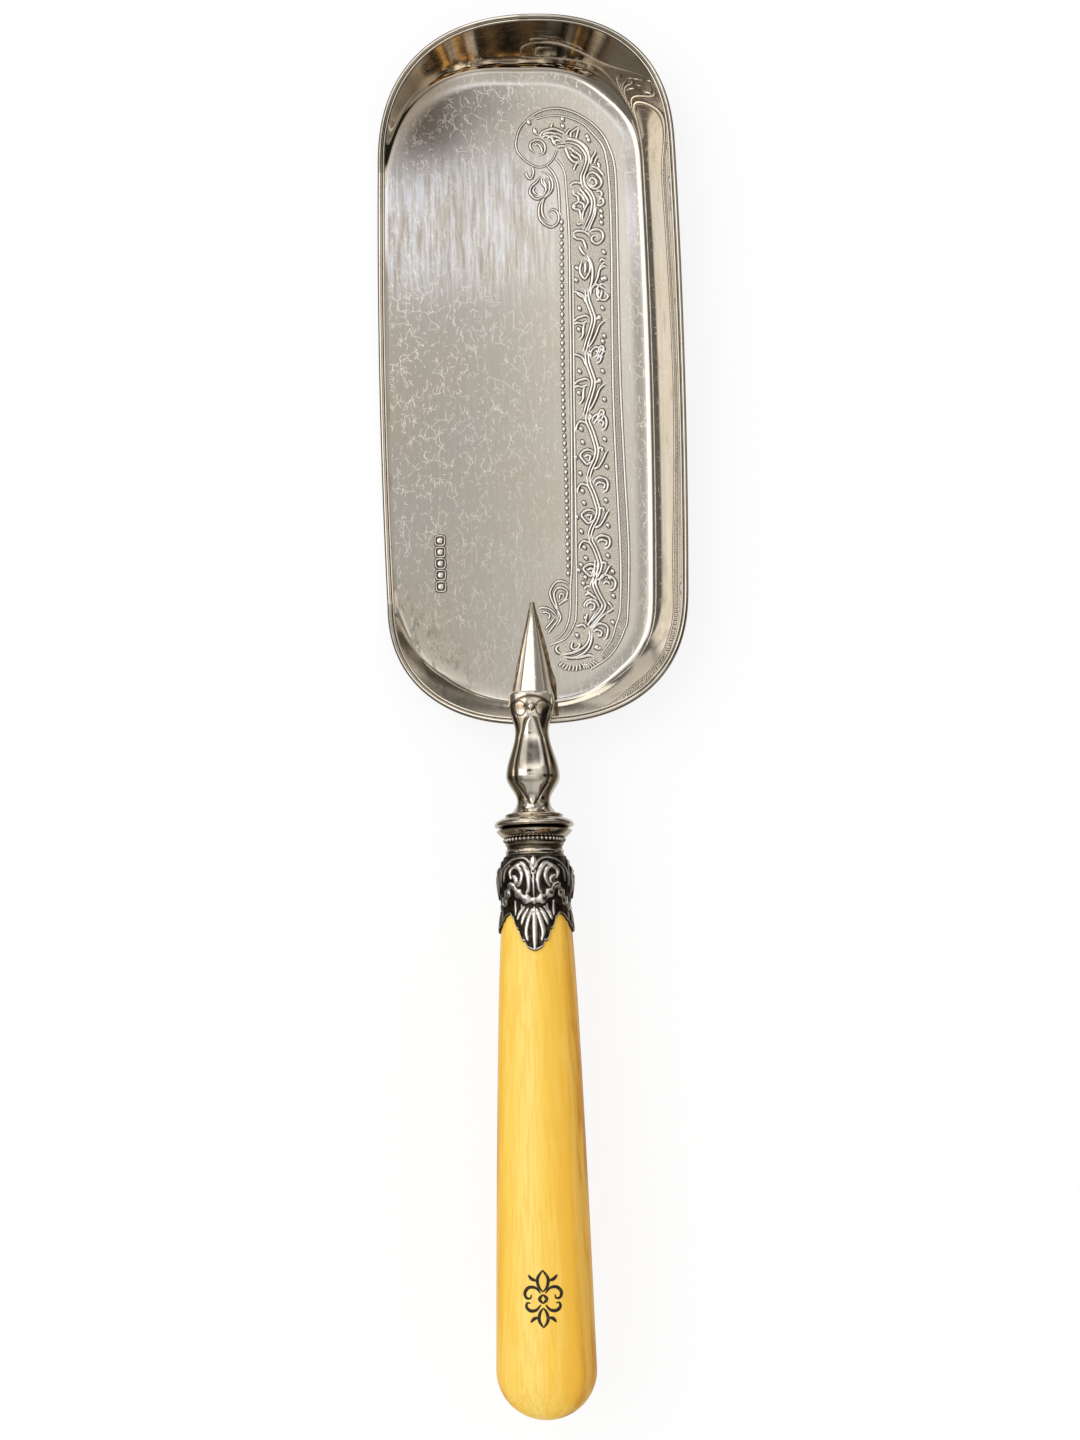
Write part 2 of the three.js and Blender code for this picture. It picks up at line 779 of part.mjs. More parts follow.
function tangGeometry() {
  const radius = tangDiameter / 2;
  const from = shankLength - tangInShank + turnedGap;
  const to = handleAt + boreDepth - 4 * turnedGap;
  return facingOut(merged(new THREE.LatheGeometry([
    new THREE.Vector2(0, from),
    new THREE.Vector2(radius, from),
    new THREE.Vector2(radius, to - tangPoint),
    new THREE.Vector2(radius * 0.4, to),
    new THREE.Vector2(0, to),
  ], 16)));
}

const pan = new THREE.Group();
pan.add(
  part('pan', panGeometry(), silver),
  part('gallery_rim_wire', galleryWire(), silver),
  part('lip_wire', lipWire(), silver),
  part('spur', spurGeometry(), silver),
);

handleFrame.add(
  part('shank', shankGeometry(), silver),
  part('collar', collarGeometry(), silver),
  part('ferrule_cap', capGeometry(), darkSilver),
  part('bead_ring', beadRingGeometry(), silver),
  part('ferrule_shell', ferruleGeometry(), darkSilver),
  part('handle', handleGeometry(), ivory),
  part('tang', tangGeometry(), steel),
  part('cement_fill', cementGeometry(), cement),
);

// The origin is under the middle of the whole length.
const domeReach = Math.hypot(
  handleDome * Math.cos(handleTilt),
  (handleWidth / 2) * handleFlatRatio * Math.sin(handleTilt),
);
const nearest = -(handleEnd - handleDome) * Math.cos(handleTilt) - domeReach;
const crumbCatcher = new THREE.Group();
crumbCatcher.add(pan, handleFrame);
crumbCatcher.position.y = -(panLength + nearest) / 2;

export default crumbCatcher;
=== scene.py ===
"""A silver crumb catcher: an engraved pan with a raised gallery, a faceted
shank, a struck leaf ferrule and an ivory-coloured handle."""

import math

import bmesh
import bpy
import numpy as np
from bpy.props import FloatProperty, FloatVectorProperty, IntProperty, PointerProperty
from mathutils import Matrix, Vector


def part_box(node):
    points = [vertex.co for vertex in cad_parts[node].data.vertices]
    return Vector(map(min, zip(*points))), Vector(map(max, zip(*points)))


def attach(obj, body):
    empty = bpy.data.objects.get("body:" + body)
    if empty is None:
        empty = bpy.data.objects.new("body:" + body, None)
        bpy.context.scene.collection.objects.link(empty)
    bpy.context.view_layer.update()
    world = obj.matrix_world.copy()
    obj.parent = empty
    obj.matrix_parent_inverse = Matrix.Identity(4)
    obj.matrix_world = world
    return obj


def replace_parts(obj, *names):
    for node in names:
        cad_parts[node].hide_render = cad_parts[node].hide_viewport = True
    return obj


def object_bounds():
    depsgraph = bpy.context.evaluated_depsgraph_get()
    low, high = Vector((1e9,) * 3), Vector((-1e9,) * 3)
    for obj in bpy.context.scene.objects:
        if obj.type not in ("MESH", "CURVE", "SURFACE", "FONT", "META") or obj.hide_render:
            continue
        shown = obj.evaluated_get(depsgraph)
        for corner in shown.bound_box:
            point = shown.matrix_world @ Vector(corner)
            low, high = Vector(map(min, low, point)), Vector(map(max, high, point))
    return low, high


bl_info = {
    "name": "Silver Crumb Catcher",
    "version": (1, 0, 0),
    "blender": (4, 5, 0),
    "location": "View3D > Sidebar > Crumb Catcher",
    "description": "Builds a silver crumb catcher with an ivory-coloured handle",
    "category": "Object",
}

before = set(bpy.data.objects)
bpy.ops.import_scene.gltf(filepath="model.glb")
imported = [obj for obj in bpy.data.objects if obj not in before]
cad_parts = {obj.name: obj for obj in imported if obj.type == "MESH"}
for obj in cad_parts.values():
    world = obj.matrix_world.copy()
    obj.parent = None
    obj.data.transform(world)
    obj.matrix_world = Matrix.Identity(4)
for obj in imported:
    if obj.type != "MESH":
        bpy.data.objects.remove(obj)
CAD_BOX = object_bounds()
BODY = "root"
MM = 0.001
QUARTER = math.pi / 2

# The pan's near end and its length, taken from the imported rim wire.
RIM_LOW, RIM_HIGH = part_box("gallery_rim_wire")
NEAR_Y = RIM_LOW.y


def length(name, description, millimetres):
    """A property that holds a length."""
    return FloatProperty(
        name=name,
        description=description,
        default=millimetres * MM,
        min=0.0,
        precision=5,
        unit="LENGTH",
    )


def share(name, description, value):
    """A property that holds a plain share or power."""
    return FloatProperty(name=name, description=description, default=value, precision=3)


def colour(name, description, red, green, blue):
    """A property that holds a colour."""
    return FloatVectorProperty(
        name=name,
        description=description,
        default=(red, green, blue),
        min=0.0,
        max=1.0,
        size=3,
        subtype="COLOR",
    )


class PanSizes(bpy.types.PropertyGroup):
    """Sizes of the pan, its wall and its rim wires."""

    length: length("Length", "Pan from end to end", (RIM_HIGH.y - RIM_LOW.y) / MM)
    width: length("Width", "Pan across its middle", 72.598)
    bow: share("Bow", "How much the ends draw in", 0.053)
    far_depth: length("Far corner", "Depth of a far corner", 33)
    far_fullness: share("Far fullness", "Squareness of a far corner", 2.5)
    near_depth: length("Near corner", "Depth of a near corner", 30.4)
    near_right_fullness: share("Near right fullness", "Squareness by the wall", 2.46)
    near_left_fullness: share("Near left fullness", "Squareness by the lip", 2.33)
    sheet: length("Sheet", "Thickness of the silver sheet", 1.0)
    wall: length("Wall", "Height of the wall", 14)
    run_far: length("Far run", "Lean of the wall at the far end", 8.9)
    run_far_right: length("Far right run", "Lean at the far corner", 10.1)
    run_side: length("Side run", "Lean of the long wall", 7.85)
    run_near_right: length("Near right run", "Lean at the near corner", 8.25)
    run_near: length("Near run", "Lean at the near end", 5.5)
    run_near_left: length("Near left run", "Lean by the lip", 5.9)
    lip: length("Lip", "Width of the open lip", 1.7)
    bend: length("Bend", "Extra run of the bend at the floor", 0.8)
    far_rise: share("Far rise", "How the wall dies away at the far end", 0.89)
    near_rise: share("Near rise", "How the wall dies away at the near end", 0.76)
    wire_width: length("Wire width", "Width of the rim wire", 1.7)
    wire_height: length("Wire height", "Height of the rim wire", 1.2)
    wire_inside: length("Wire inside", "How far the wire stands inside the sheet", 0.25)


class SpurSizes(bpy.types.PropertyGroup):
    """Sizes of the pointed tongue on the floor."""

    offset: share("Side offset", "Handle's line from the middle, in metres", -1.3 * MM)
    reach: length("Reach", "From the near rim to the tip", 30.4)
    width: length("Width", "Width at the knuckle", 10.3)
    facet: length("Facet", "Width of the top facet", 5.7)
    tip: length("Tip", "Height of the tip", 0.5)
    curve: share("Curve", "How the top line bends", 1.15)


class ShankSizes(bpy.types.PropertyGroup):
    """Sizes of the shank and the handle's line."""

    over_rim: length("Over the rim", "Handle's line over the wall", 2.6)
    tilt: FloatProperty(
        name="Tilt",
        description="Rise of the handle's line",
        default=math.radians(3.5),
        subtype="ANGLE",
    )
    reach: length("Knuckle reach", "Knuckle inside the rim", 7.2)
    knuckle_width: length("Knuckle width", "Across the knuckle", 10.3)
    knuckle_height: length("Knuckle height", "Through the knuckle", 8.0)
    upper_neck_at: length("Upper neck at", "Station of the upper neck", 1.9)
    upper_neck: length("Upper neck", "Width of the upper neck", 7.7)
    bulge_at: length("Bulge at", "Station of the bulge", 12.3)
    bulge: length("Bulge", "Width of the bulge", 12.2)
    lower_neck_at: length("Lower neck at", "Station of the lower neck", 17.9)
    lower_neck: length("Lower neck", "Width of the lower neck", 7.5)
    length: length("Length", "From the rim to the collar", 20.7)
    foot: length("Foot", "Width of the foot", 10.4)


class FerruleSizes(bpy.types.PropertyGroup):
    """Sizes of the collar, the cap, the beads and the ferrule."""

    gap: length("Gap", "Gap between turned pieces", 0.1)
    collar: length("Collar", "Diameter of the collar", 18)
    collar_thickness: length("Collar thickness", "Length of the collar", 3.4)
    cap: length("Cap", "Diameter of the cap", 17.2)
    cap_length: length("Cap length", "Length of the cap", 6.0)
    cap_neck: length("Cap neck", "Diameter of the cap's neck", 12.6)
    bead_count: IntProperty(name="Beads", description="Beads in the ring", default=42)
    bead: length("Bead", "Diameter of a bead", 0.92)
    bead_ring: length("Bead ring", "Diameter of the bead ring", 13.3)
    bead_at: length("Bead ring at", "Station of the beads on the cap", 2.6)
    wall: length("Wall", "Thickness of the shell", 0.55)
    belly: length("Belly", "Diameter of the belly", 17.2)
    belly_at: length("Belly at", "Station of the belly", 5.4)
    waist: length("Waist", "Diameter of the waist", 15.5)
    waist_at: length("Waist at", "Station of the waist", 13.0)
    notch_at: length("Notch at", "Station of the notches", 13.6)
    front_leaf: length("Front leaf", "Reach of the front leaf", 8.4)
    side_leaf: length("Side leaf", "Reach of a side leaf", 3.9)
    relief: length("Relief", "Height of the relief", 0.5)


class HandleSizes(bpy.types.PropertyGroup):
    """Sizes of the handle."""

    end: length("End", "From the rim to the handle's end", 155.12)
    insert: length("Insert", "Handle inside the ferrule", 3.4)
    neck: length("Neck", "Width at the ferrule", 15.0)
    width: length("Width", "Greatest width", 22.3)
    flatness: share("Flatness", "Height over width", 0.7975)
    dome: length("Dome", "Length of the rounded end", 10.8)
    swell: share("Swell", "How the width grows", 0.58)
    bore: length("Bore", "Diameter of the bore", 6.2)
    bore_depth: length("Bore depth", "Depth of the bore", 66)
    motif_at: length("Motif at", "Station of the motif", 128.3)


class Finishes(bpy.types.PropertyGroup):
    """Colours of the finishes."""

    silver: colour("Silver", "Clean silver", 0.80, 0.76, 0.70)
    warm_silver: colour("Warm silver", "Silver with a thin film", 0.74, 0.66, 0.54)
    tarnish: colour("Tarnish", "Brown tarnish", 0.26, 0.19, 0.12)
    oxide: colour("Oxide", "Dark oxide in the recesses", 0.035, 0.028, 0.022)
    solder: colour("Solder", "Golden solder", 0.52, 0.36, 0.16)
    # The handle's pale, deep and edge colours give its grain and flecks, and also paint the sheen and
    # the shade at its sides.
    ivory: colour("Ivory colour", "Body of the handle", 0.93, 0.6, 0.085)
    ivory_pale: colour("Pale streaks", "Pale grain in the handle", 0.96, 0.68, 0.16)
    ivory_deep: colour("Deep streaks", "Deep grain in the handle", 0.86, 0.48, 0.045)
    ivory_edge: colour("Handle's edge", "Sides of the handle", 0.5, 0.2, 0.012)
    ink: colour("Ink", "Fill of the engraved motif", 0.022, 0.011, 0.004)
    steel: colour("Steel", "Tang", 0.18, 0.18, 0.19)
    cement: colour("Cement", "Resin cement", 0.045, 0.026, 0.016)


class StageSettings(bpy.types.PropertyGroup):
    """Floor, lights and camera."""

    floor: colour("Floor", "Colour of the floor", 0.97, 0.97, 0.97)
    key_power: FloatProperty(name="Key lamp", description="Watts of the key lamp", default=7.9)
    lens: FloatProperty(name="Lens", description="Focal length in mm", default=63.675)


def clamp(value):
    return np.clip(value, 0.0, 1.0)


def turns(count):
    """Even angles round a full turn."""
    return np.linspace(0, 2 * math.pi, count, endpoint=False)


def smooth(value):
    """Smoothstep from 0 to 1."""
    value = clamp(value)
    return value * value * (3.0 - 2.0 * value)


def mix(start, end, amount):
    """The value at a share of the way from start to end."""
    return start + (end - start) * amount


def strokes_of(text):
    """Reads one stroke a line, each a run of x,y points in millimetres."""
    lines = [line.split() for line in text.strip().splitlines()]
    return [np.array([point.split(",") for point in line], float) * MM for line in lines]


def add_object(name, data):
    piece = bpy.data.objects.new(name, data)
    bpy.context.scene.collection.objects.link(piece)
    return piece


class Form:
    """Collects closed forms into one mesh, with a tone at each point for its finish."""

    def __init__(self, rings=None, tones=1.0, closed=False):
        self.points = []
        self.faces = []
        self.tones = []
        self.count = 0
        if rings is not None:
            self.stack(rings, tones, closed)

    def stack(self, rings, tones=1.0, closed=False):
        """Adds a stack of point rings. An open stack gets a face at each end."""
        rings = np.asarray(rings, float)
        rows, columns = rings.shape[:2]
        grid = self.count + np.arange(rows * columns).reshape(rows, columns)
        upper = grid if closed else grid[:-1]
        lower = np.roll(grid, -1, axis=0) if closed else grid[1:]
        corners = [upper, np.roll(upper, -1, 1), np.roll(lower, -1, 1), lower]
        self.faces.extend(np.stack(corners, -1).reshape(-1, 4).tolist())
        if not closed:
            self.faces.append(grid[0][::-1].tolist())
            self.faces.append(grid[-1].tolist())
        self.points.append(rings.reshape(-1, 3))
        self.tones.append(np.broadcast_to(tones, (rows, columns)).reshape(-1))
        self.count += rows * columns

    def make(self, name, finish, slot, crease):
        """Makes the object, rides it on the body and gives it its finish."""
        mesh = bpy.data.meshes.new(name)
        mesh.from_pydata(np.concatenate(self.points).tolist(), [], self.faces)
        tone = mesh.attributes.new("tone", "FLOAT", "POINT")
        tone.data.foreach_set("value", np.concatenate(self.tones).astype(np.float32))
        shape = bmesh.new()
        shape.from_mesh(mesh)
        bmesh.ops.recalc_face_normals(shape, faces=shape.faces)
        shape.to_mesh(mesh)
        shape.free()
        mesh.shade_smooth()
        mesh.set_sharp_from_angle(angle=math.radians(crease))
        mesh.materials.append(finish)
        piece = add_object(name, mesh)
        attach(piece, BODY)
        return piece


def curve_through(points, spacing):
    """Points at an even spacing on a smooth curve through the given ones."""
    points = np.asarray(points, float)
    padded = np.vstack([2 * points[0] - points[1], points, 2 * points[-1] - points[-2]])
    fine = []
    for i in range(len(points) - 1):
        before, start, end, after = padded[i : i + 4]
        t = np.linspace(0, 1, 12, endpoint=False)[:, None]
        fine.append(
            0.5
            * (
                2 * start
                + (end - before) * t
                + (2 * before - 5 * start + 4 * end - after) * t**2
                + (3 * start - before - 3 * end + after) * t**3
            )
        )
    fine = np.vstack([*fine, points[-1:]])
    travel = np.concatenate([[0], np.cumsum(np.linalg.norm(np.diff(fine, axis=0), axis=1))])
    steps = max(3, int(round(travel[-1] / spacing)) + 1)
    marks = np.linspace(0, travel[-1], steps)
    return np.column_stack([np.interp(marks, travel, fine[:, k]) for k in range(fine.shape[1])])


def sideways(path):
    """Unit vectors square to a flat path, at each of its points."""
    run = np.gradient(path, axis=0)
    run /= np.linalg.norm(run, axis=1)[:, None] + 1e-12
    return np.column_stack([-run[:, 1], run[:, 0]])


# Strokes of the engraving in millimetres, each point's x from the pan's middle and its y
# from the near rim. Those of a curl or a leaf count from where it starts on the vine.
BORDER_LINES = """
7.5,138.4 6.5,136.3 4.6,134.8 2.4,134.7 -0.1,136.3 -2,138.8 -2.1,141.6 -0.6,145 3.3,148 7.4,148.8 \
11.4,147.8 15.3,145.4 18.4,142.1 20.1,138.5 21.1,134.6 21.4,128.5 21.3,113 21.1,94.3 21.1,77.5 \
21.5,58.3 21.9,41.6 21.2,26.1 20.3,22.6 19.3,20.3 17.5,17.5 15.6,15.7 12.2,13.6
2.8,146.4 6,147 10,146.6 13.9,144.7 16.5,141.9 18.6,138.9 19.4,135.2 19.7,131.3 19.9,125.7 \
19.9,113 19.3,77.5 19.9,41.6 19.6,29.8 19.2,26.2 18.4,23.9 17.4,20.8 15.7,18.3 14.7,17.1
5.1,134.8 6.4,133.1 7.4,130.8 7.7,127.6 7.8,123.5 8.1,122.7
7.3,136.4 8.6,134.6 9.3,132.4 9.5,128.9 9.7,124.8 9.9,118 9.8,110.5 9.3,77.9 8.5,42 7.9,33.2 \
7.7,27.8 7.1,24.7 5.9,22.4 3.9,20.8
10.6,110.5 10,77.9 9.5,42 9.1,27.2 8.4,24.2 7.3,22.1 5.8,20.7 2.7,19.6
"""
GROUND_LEFT = """
3.6,141.6 6.8,139.8 8.3,137 9.3,134.6 9.9,130 10.1,124.8 10.2,118 10.4,110.5 9.9,77.9 9.3,42 \
8.9,30 8.4,25.4 7.2,22.6 5.4,21 3.4,20
"""
GROUND_RIGHT = """
1.6,145.4 5.8,146.8 10,146.4 13.8,144.5 16.3,141.7 18.4,138.7 19.2,135.2 19.5,131.3 19.7,125.7 \
19.1,77.5 19.7,41.6 19.4,29.8 18.2,23.9 15.5,18.5 12.5,14.6 5.0,14.2
"""
BEAD_LINE = """
8.2,121 8,111.3 7.4,78 7.6,58.8 7.5,36.5
"""
SCROLL_STROKES = """
2.3,144.5 2.2,143.3 3.2,142.3
2.4,137.9 1.3,139.1 1.3,140.5 2.5,141.2 3.8,140.9 4.7,139.7 4.5,138.1 3.1,137.2
2.1,139.8 2.9,140.3 3.7,139.3 4,138.3 3.3,137.9
1.4,134.9 1.8,133.5 1.4,132.1 0.6,131.9 0,133.1 0.2,133.8
3.6,133.4 4.6,133.1 5.7,132.2 6.3,130.5 6,128.7 4.6,127.3 3.2,125.7 2.8,123.4 3.3,121.5 4.9,120.1 \
6.3,120 7.4,121.1 7.5,122.8 6.6,124 5.7,124 5.2,123.1 5.9,121.9
4.5,132 5.5,130.8 5.4,128.7 4.2,126.9 3.6,124.8 3.8,122.7 4.9,121
3.4,132.3 2.4,130.9 1.3,130 0.8,128.6 1.4,127.4 2.6,126.8 4.2,127.6
3.6,132 3.8,130.6 4.7,129.2 4.2,127.9
2.1,129.9 1.6,128.8 2.5,127.6
4.1,131.5 4.5,130.4 4.9,129.4
4,23.6 5,25 5.4,25.9 5.1,27.1 4.2,28.6 3.4,30.3 3.1,32.2 4.3,34.3 5.7,34.7 7.1,34.2 7.9,32.7
4.6,25.4 4.9,26.6 4.6,28.6 4,31.4 4.7,32.9 5.9,33.1 7.1,32.1 6.8,30.6 5.4,29.5
5.2,30.2 5.5,31.6 6.2,31.6 6.1,30.8
4.9,29 6.2,29.9 7.4,30.4
0.1,28 0.8,28.5 2.3,28.4 3.7,27.4 4.5,26.4
1,27.3 2.1,27.4 2.9,26.6 2.4,25.6
1.6,23.3 2.9,24.7 4.2,26.2
2.2,22.3 3.5,23.9 4.9,25.6
13.9,14.7 13.4,15.1 12.6,15.6
13.2,14.2 12.8,14.8 12,15.4
12.5,13.8 12.2,14.5 11.5,15.1
11.9,13.6 11.6,14.3 11,15
11.3,13.5 11.1,14.3 10.6,15
10.6,13.4 10.6,14.2 10.1,15
9.6,13.2 9.7,14.1 9.4,14.9
8.6,13.1 8.9,13.9 8.8,14.7
7.7,13.2 8.1,13.9 8.1,14.7
6.7,13.3 7.2,14 7.4,14.8
5.8,13.6 6.5,14.2 6.8,14.9
5.2,14.1 5.9,14.7 6.3,15.3
4.5,14.6 5.3,15.1 5.8,15.6
"""
CREST_STROKES = """
8.6,140.5 10.9,140.6 13,139.6 14.5,137.6 14.9,136 14.2,133.7 13.5,131.9 13.8,129.5 15.2,127.6 \
15.9,125.7 15.5,122.9 14.5,120.6 13.5,118.6
3.5,141.8 4.1,143 5.5,143.6 6.9,143.8 8.7,143 9.8,142.1
3.9,141.6 5,142.2 6.4,141.5 6.8,140.5 7.7,139.3
5.2,141.3 6.2,142 7.8,141.7 8.9,140.9
4.1,142.3 5,142.8 6.4,142.8 7.8,142.4
6.8,140.5 7.7,141 8.6,140.5
7.7,139.3 8.6,139.5 9.8,139.4
9.8,142.1 10.4,143.1 11,143.6
11,141.3 11,142.5 11.6,143.1 12.4,143.6 13.1,144
12.2,141 12.6,142.6 13,143.8
9.8,141.4 11.9,140.9 13.5,140 14.6,138.8 15.3,137.4
6.2,144.1 6.5,144.8 6.3,145.2
9.5,139.3 10,137.8 10.6,136.4 11.7,135.4 13.1,135.6
10.4,139.2 11.8,138 13.1,136.8 13.3,135.6
10.7,137.6 11.8,136.6 12.7,136.3
11.4,133.3 11.8,134.5 12.6,135.4
11.1,138.5 12.2,137.5
15.5,134.6 15.9,136.2 16.6,137.3 16.8,138.3
16.4,134.8 16.8,135.9 17.2,136.6
17.6,133.6 17.4,134.7 17,135.2
14.3,131.1 15.1,132.5 16.2,132.7 17.3,131.7 18,130.5 17.7,129.4 16.6,128.7 15.4,129.2 14.4,130.4
15,130.6 15.7,131.5 16.6,130.8 16.8,129.9 15.9,129.4 15.2,129.9
15.6,134.3 16.9,133.8 18,132.6 18.7,131.4
10.6,129.4 10.9,130.2 12,130.5 13.2,130 13.8,128.8 14.9,127.8
11.1,128.7 11.3,127.7 12.2,127 12.4,125.8 11.1,125 11.4,124 12.5,123.7 12.9,121.4
12.7,129.1 13.8,127.4 14.7,125.7 14.2,124.6 13.4,123 13.2,121.1
12,128.2 13.3,127 14,125.5
12.4,125.8 13.5,125.1 13.7,123.9
16.5,128 17.5,128.2 18,127.5 17.7,126.8 16.7,126.8
17,126.1 18.1,126.3 18.3,125.1 17.4,124.6 16.6,125
16.5,124.7 16.2,122.4 15.2,120.1 14.5,118.5
11.8,120.7 12.4,120.2 12.9,120.7
10.8,117.8 11.3,118.5 12.6,118.7 14,118.2 15.1,116.9
10.8,117.8 11.7,116.8 13,116.5 13.7,115.1 13.9,113.7
14.4,117.8 15.4,118.7 17,118.8 18,117.7 17.8,116.3 16.7,115.4 15.5,115.9 15.3,116.9 16.3,117.5 \
16.7,116.8
13.1,112.3 14.7,110.8 14.5,108.6 13.3,107 12.3,108.7 12.6,110.9 13.3,112.1
13.5,111.1 13.6,109.6 13.4,108.2
14,112.8 15.2,110 15.1,106.7 14.3,103.8
18.5,111.1 17.1,109.7 16.3,106.8 14.8,104
18.5,111.1 17.6,111.6 16.9,110.9
16.8,109 18,109.9 18.7,109.4
18.6,105.1 17.2,105.6 16.2,104.2 16.6,102.2 18,101.7 18.8,102.6 17.8,103.6
11.2,104.1 12.1,102.9 13.5,102.6 14.3,103.5
12.2,115 12.9,113.5 13.8,112.5
"""
CREST_DROPS = """
9.1,146.1 9.1,144.4 14.9,141.6 15.2,140.7 2.5,143.3 17.7,123.3 17.7,120.5 11.3,124.7 17.8,122 \
1,145.6 18.2,107 11.6,109.7 11.3,106.8 18.1,113.3
"""
CURL_STROKES = """
0,0 0,-1 0.9,-3 1.6,-5 2,-6.8 1.6,-8.5 0.5,-10.3 -0.1,-11.8 -0.2,-12.4
0.7,-10.5 2.2,-10.1 3.3,-8.8 4.1,-7.4 4.9,-6.6
2.2,-6.6 2.8,-6.3 3.3,-6.5 3.2,-7.2
0.1,-1.8 -0.8,-1.2 -1.8,-1 -2.5,-1.7 -2.9,-3
1,-1 1.3,-0.3 2.1,0.2 3.1,0.2 4.1,-0.3 4.5,-1.3 4.2,-2.4 3.4,-2.9 2.9,-2.8
1.6,-1.8 1.8,-1.1 2.7,-0.8 3.6,-1.2 3.7,-1.8 3,-2.1
1.3,-7.6 0.8,-6.9 -0.2,-6.6 -1.2,-6.9 -1.9,-7.5 -1.8,-8.2 -1,-9.1 -0.5,-9.5 0.5,-9.1 1,-8.5
-1.2,-8.1 -0.4,-7.7 0.4,-7.9 0.1,-8.7 -0.4,-8.9
"""
CURL_DROPS = """
-1.3,-5.1 3.9,-4.7 -3.1,-8 -2.1,-11.2 4.2,-10.1 -1.6,-2.5
"""
LEAF_STROKES = """
0,0 0.2,-2.4 1,-4.9 1.5,-6.9 0.8,-9.5 0,-11.6 -0.9,-14.4
-0.3,-13.6 0.9,-12.3 2,-10.3 2.9,-8.3 4.6,-7
0,-3.6 -0.8,-1.6 -1.7,-0.8 -3.1,-0.3
1,-1.6 1.1,0 1.9,0.9 2.7,1 3.7,0.3 4.8,-0.3
2,-2.6 3,-2.3 3.5,-1.3 3.6,-0.1
2.1,0.3 2.9,-0.5 2.6,-1.7
0.5,-6.8 -0.3,-6 -1.3,-6.2 -2.3,-6.5 -3.3,-7.3
0.1,-7.3 -1.1,-7.8 -2.3,-7.6 -3.3,-7.9
-0.7,-7.6 -1,-8.8 -1.2,-10.6 -2.2,-11.7
1,-16.1 2.2,-14.9 2.7,-13.5 3.5,-13.2 3.6,-14.4 2.8,-15.5 1.8,-16.1
1.6,-15.7 2.6,-14.7 3.2,-13.7
0.1,-14 0.7,-14.7 -0.1,-15.4
3.3,-6.9 2.5,-6.7 1.9,-7
"""
LEAF_DROPS = """
3.9,2.3 3.7,-4.4 -1.8,-4.3 3.9,-10.8 -2.1,-9.1 2.9,-6.5
"""
FOOT_STROKES = """
14.3,39.4 13.9,35.5 13.6,33.7 14.2,31.8 15.1,29.9 15.7,28.4 14.6,26.6 13.2,25.1 12,23.8
14.8,33.9 15.3,35.5 16.5,35.8 17.8,35.2 18.6,34 18.3,32.6 17.3,32.1 16.6,32.6
15.6,33.5 16.2,34.2 17,34 17,33.2
11,32.6 11.9,33.2 12.9,33.2
11.7,32.2 12.8,31.2 14.1,30
11.2,31 12.1,31.5 13.2,30.8
14.7,27.6 14.1,29.2 13.2,30 12,29.9 11.1,28.9 11.3,27.9
11.9,27.8 11.7,28.8 12.6,29.4 13.5,28.8 13.3,27.8 12.3,27.6
16.2,26.8 17.2,27.3 18,27.9
16.5,29.3 17.1,28.8 17.6,27.9
11.6,23.8 12.6,25.3 13.8,27
12.2,23.2 13.4,24.1 15,25.8 16.2,26.8
12.6,22.8 13.4,23.7 14.6,24.3 15.7,24 16.5,23 16.2,21.3 15.2,20.3
12.9,22.3 13.9,22.9 15,22.3 14.7,21.4 13.9,21.7
12,22.8 12.2,21.4 11.7,20 10.5,18.7 8.7,17.8 6.9,17.4 5.4,17.3
12.7,22.2 12.5,20.2 11.7,18.5 10.1,17.1 8.1,16.4 5.7,16.7
8.9,23.9 9.9,24 10.6,24.2 11.5,23.1
8.2,20.5 7.8,18.8 8.9,18.4 9.8,19.4 9.2,19.9
5,19.5 4.2,18.9 4.4,17.9 5.4,17.4
8.1,16.3 10,16.5 12,16.9 13,16.5
13.2,19 13.8,18.4 15,18.6
11.2,24.6 11.5,25.7 11.7,26.9
"""
FOOT_DROPS = """
9.2,21.7 18,36.6 18,30.8 17.7,24.5 11.3,25.7 11.5,35.4 10.6,38.4 13.8,18.8
"""

# Half of the fleuron on the handle, in millimetres from its middle.
MOTIF_STROKES = """
0,6.2 1.15,4.4 0.9,2.6 0,1.5
0,-6.2 0.95,-4.6 0.75,-3 0,-1.9
0,1 0.8,0 0,-1
0.5,1.2 1.6,2.4 3.1,2.5 4,1.4 3.7,0.3 2.8,0.2 2.6,1
0.5,-1.2 1.5,-2.3 2.8,-2.5 3.7,-1.7 3.5,-0.8 2.8,-0.9
1.3,3.9 2.4,4.3 3.2,5.2
1.1,-3.9 2.1,-4.2 2.8,-5
"""

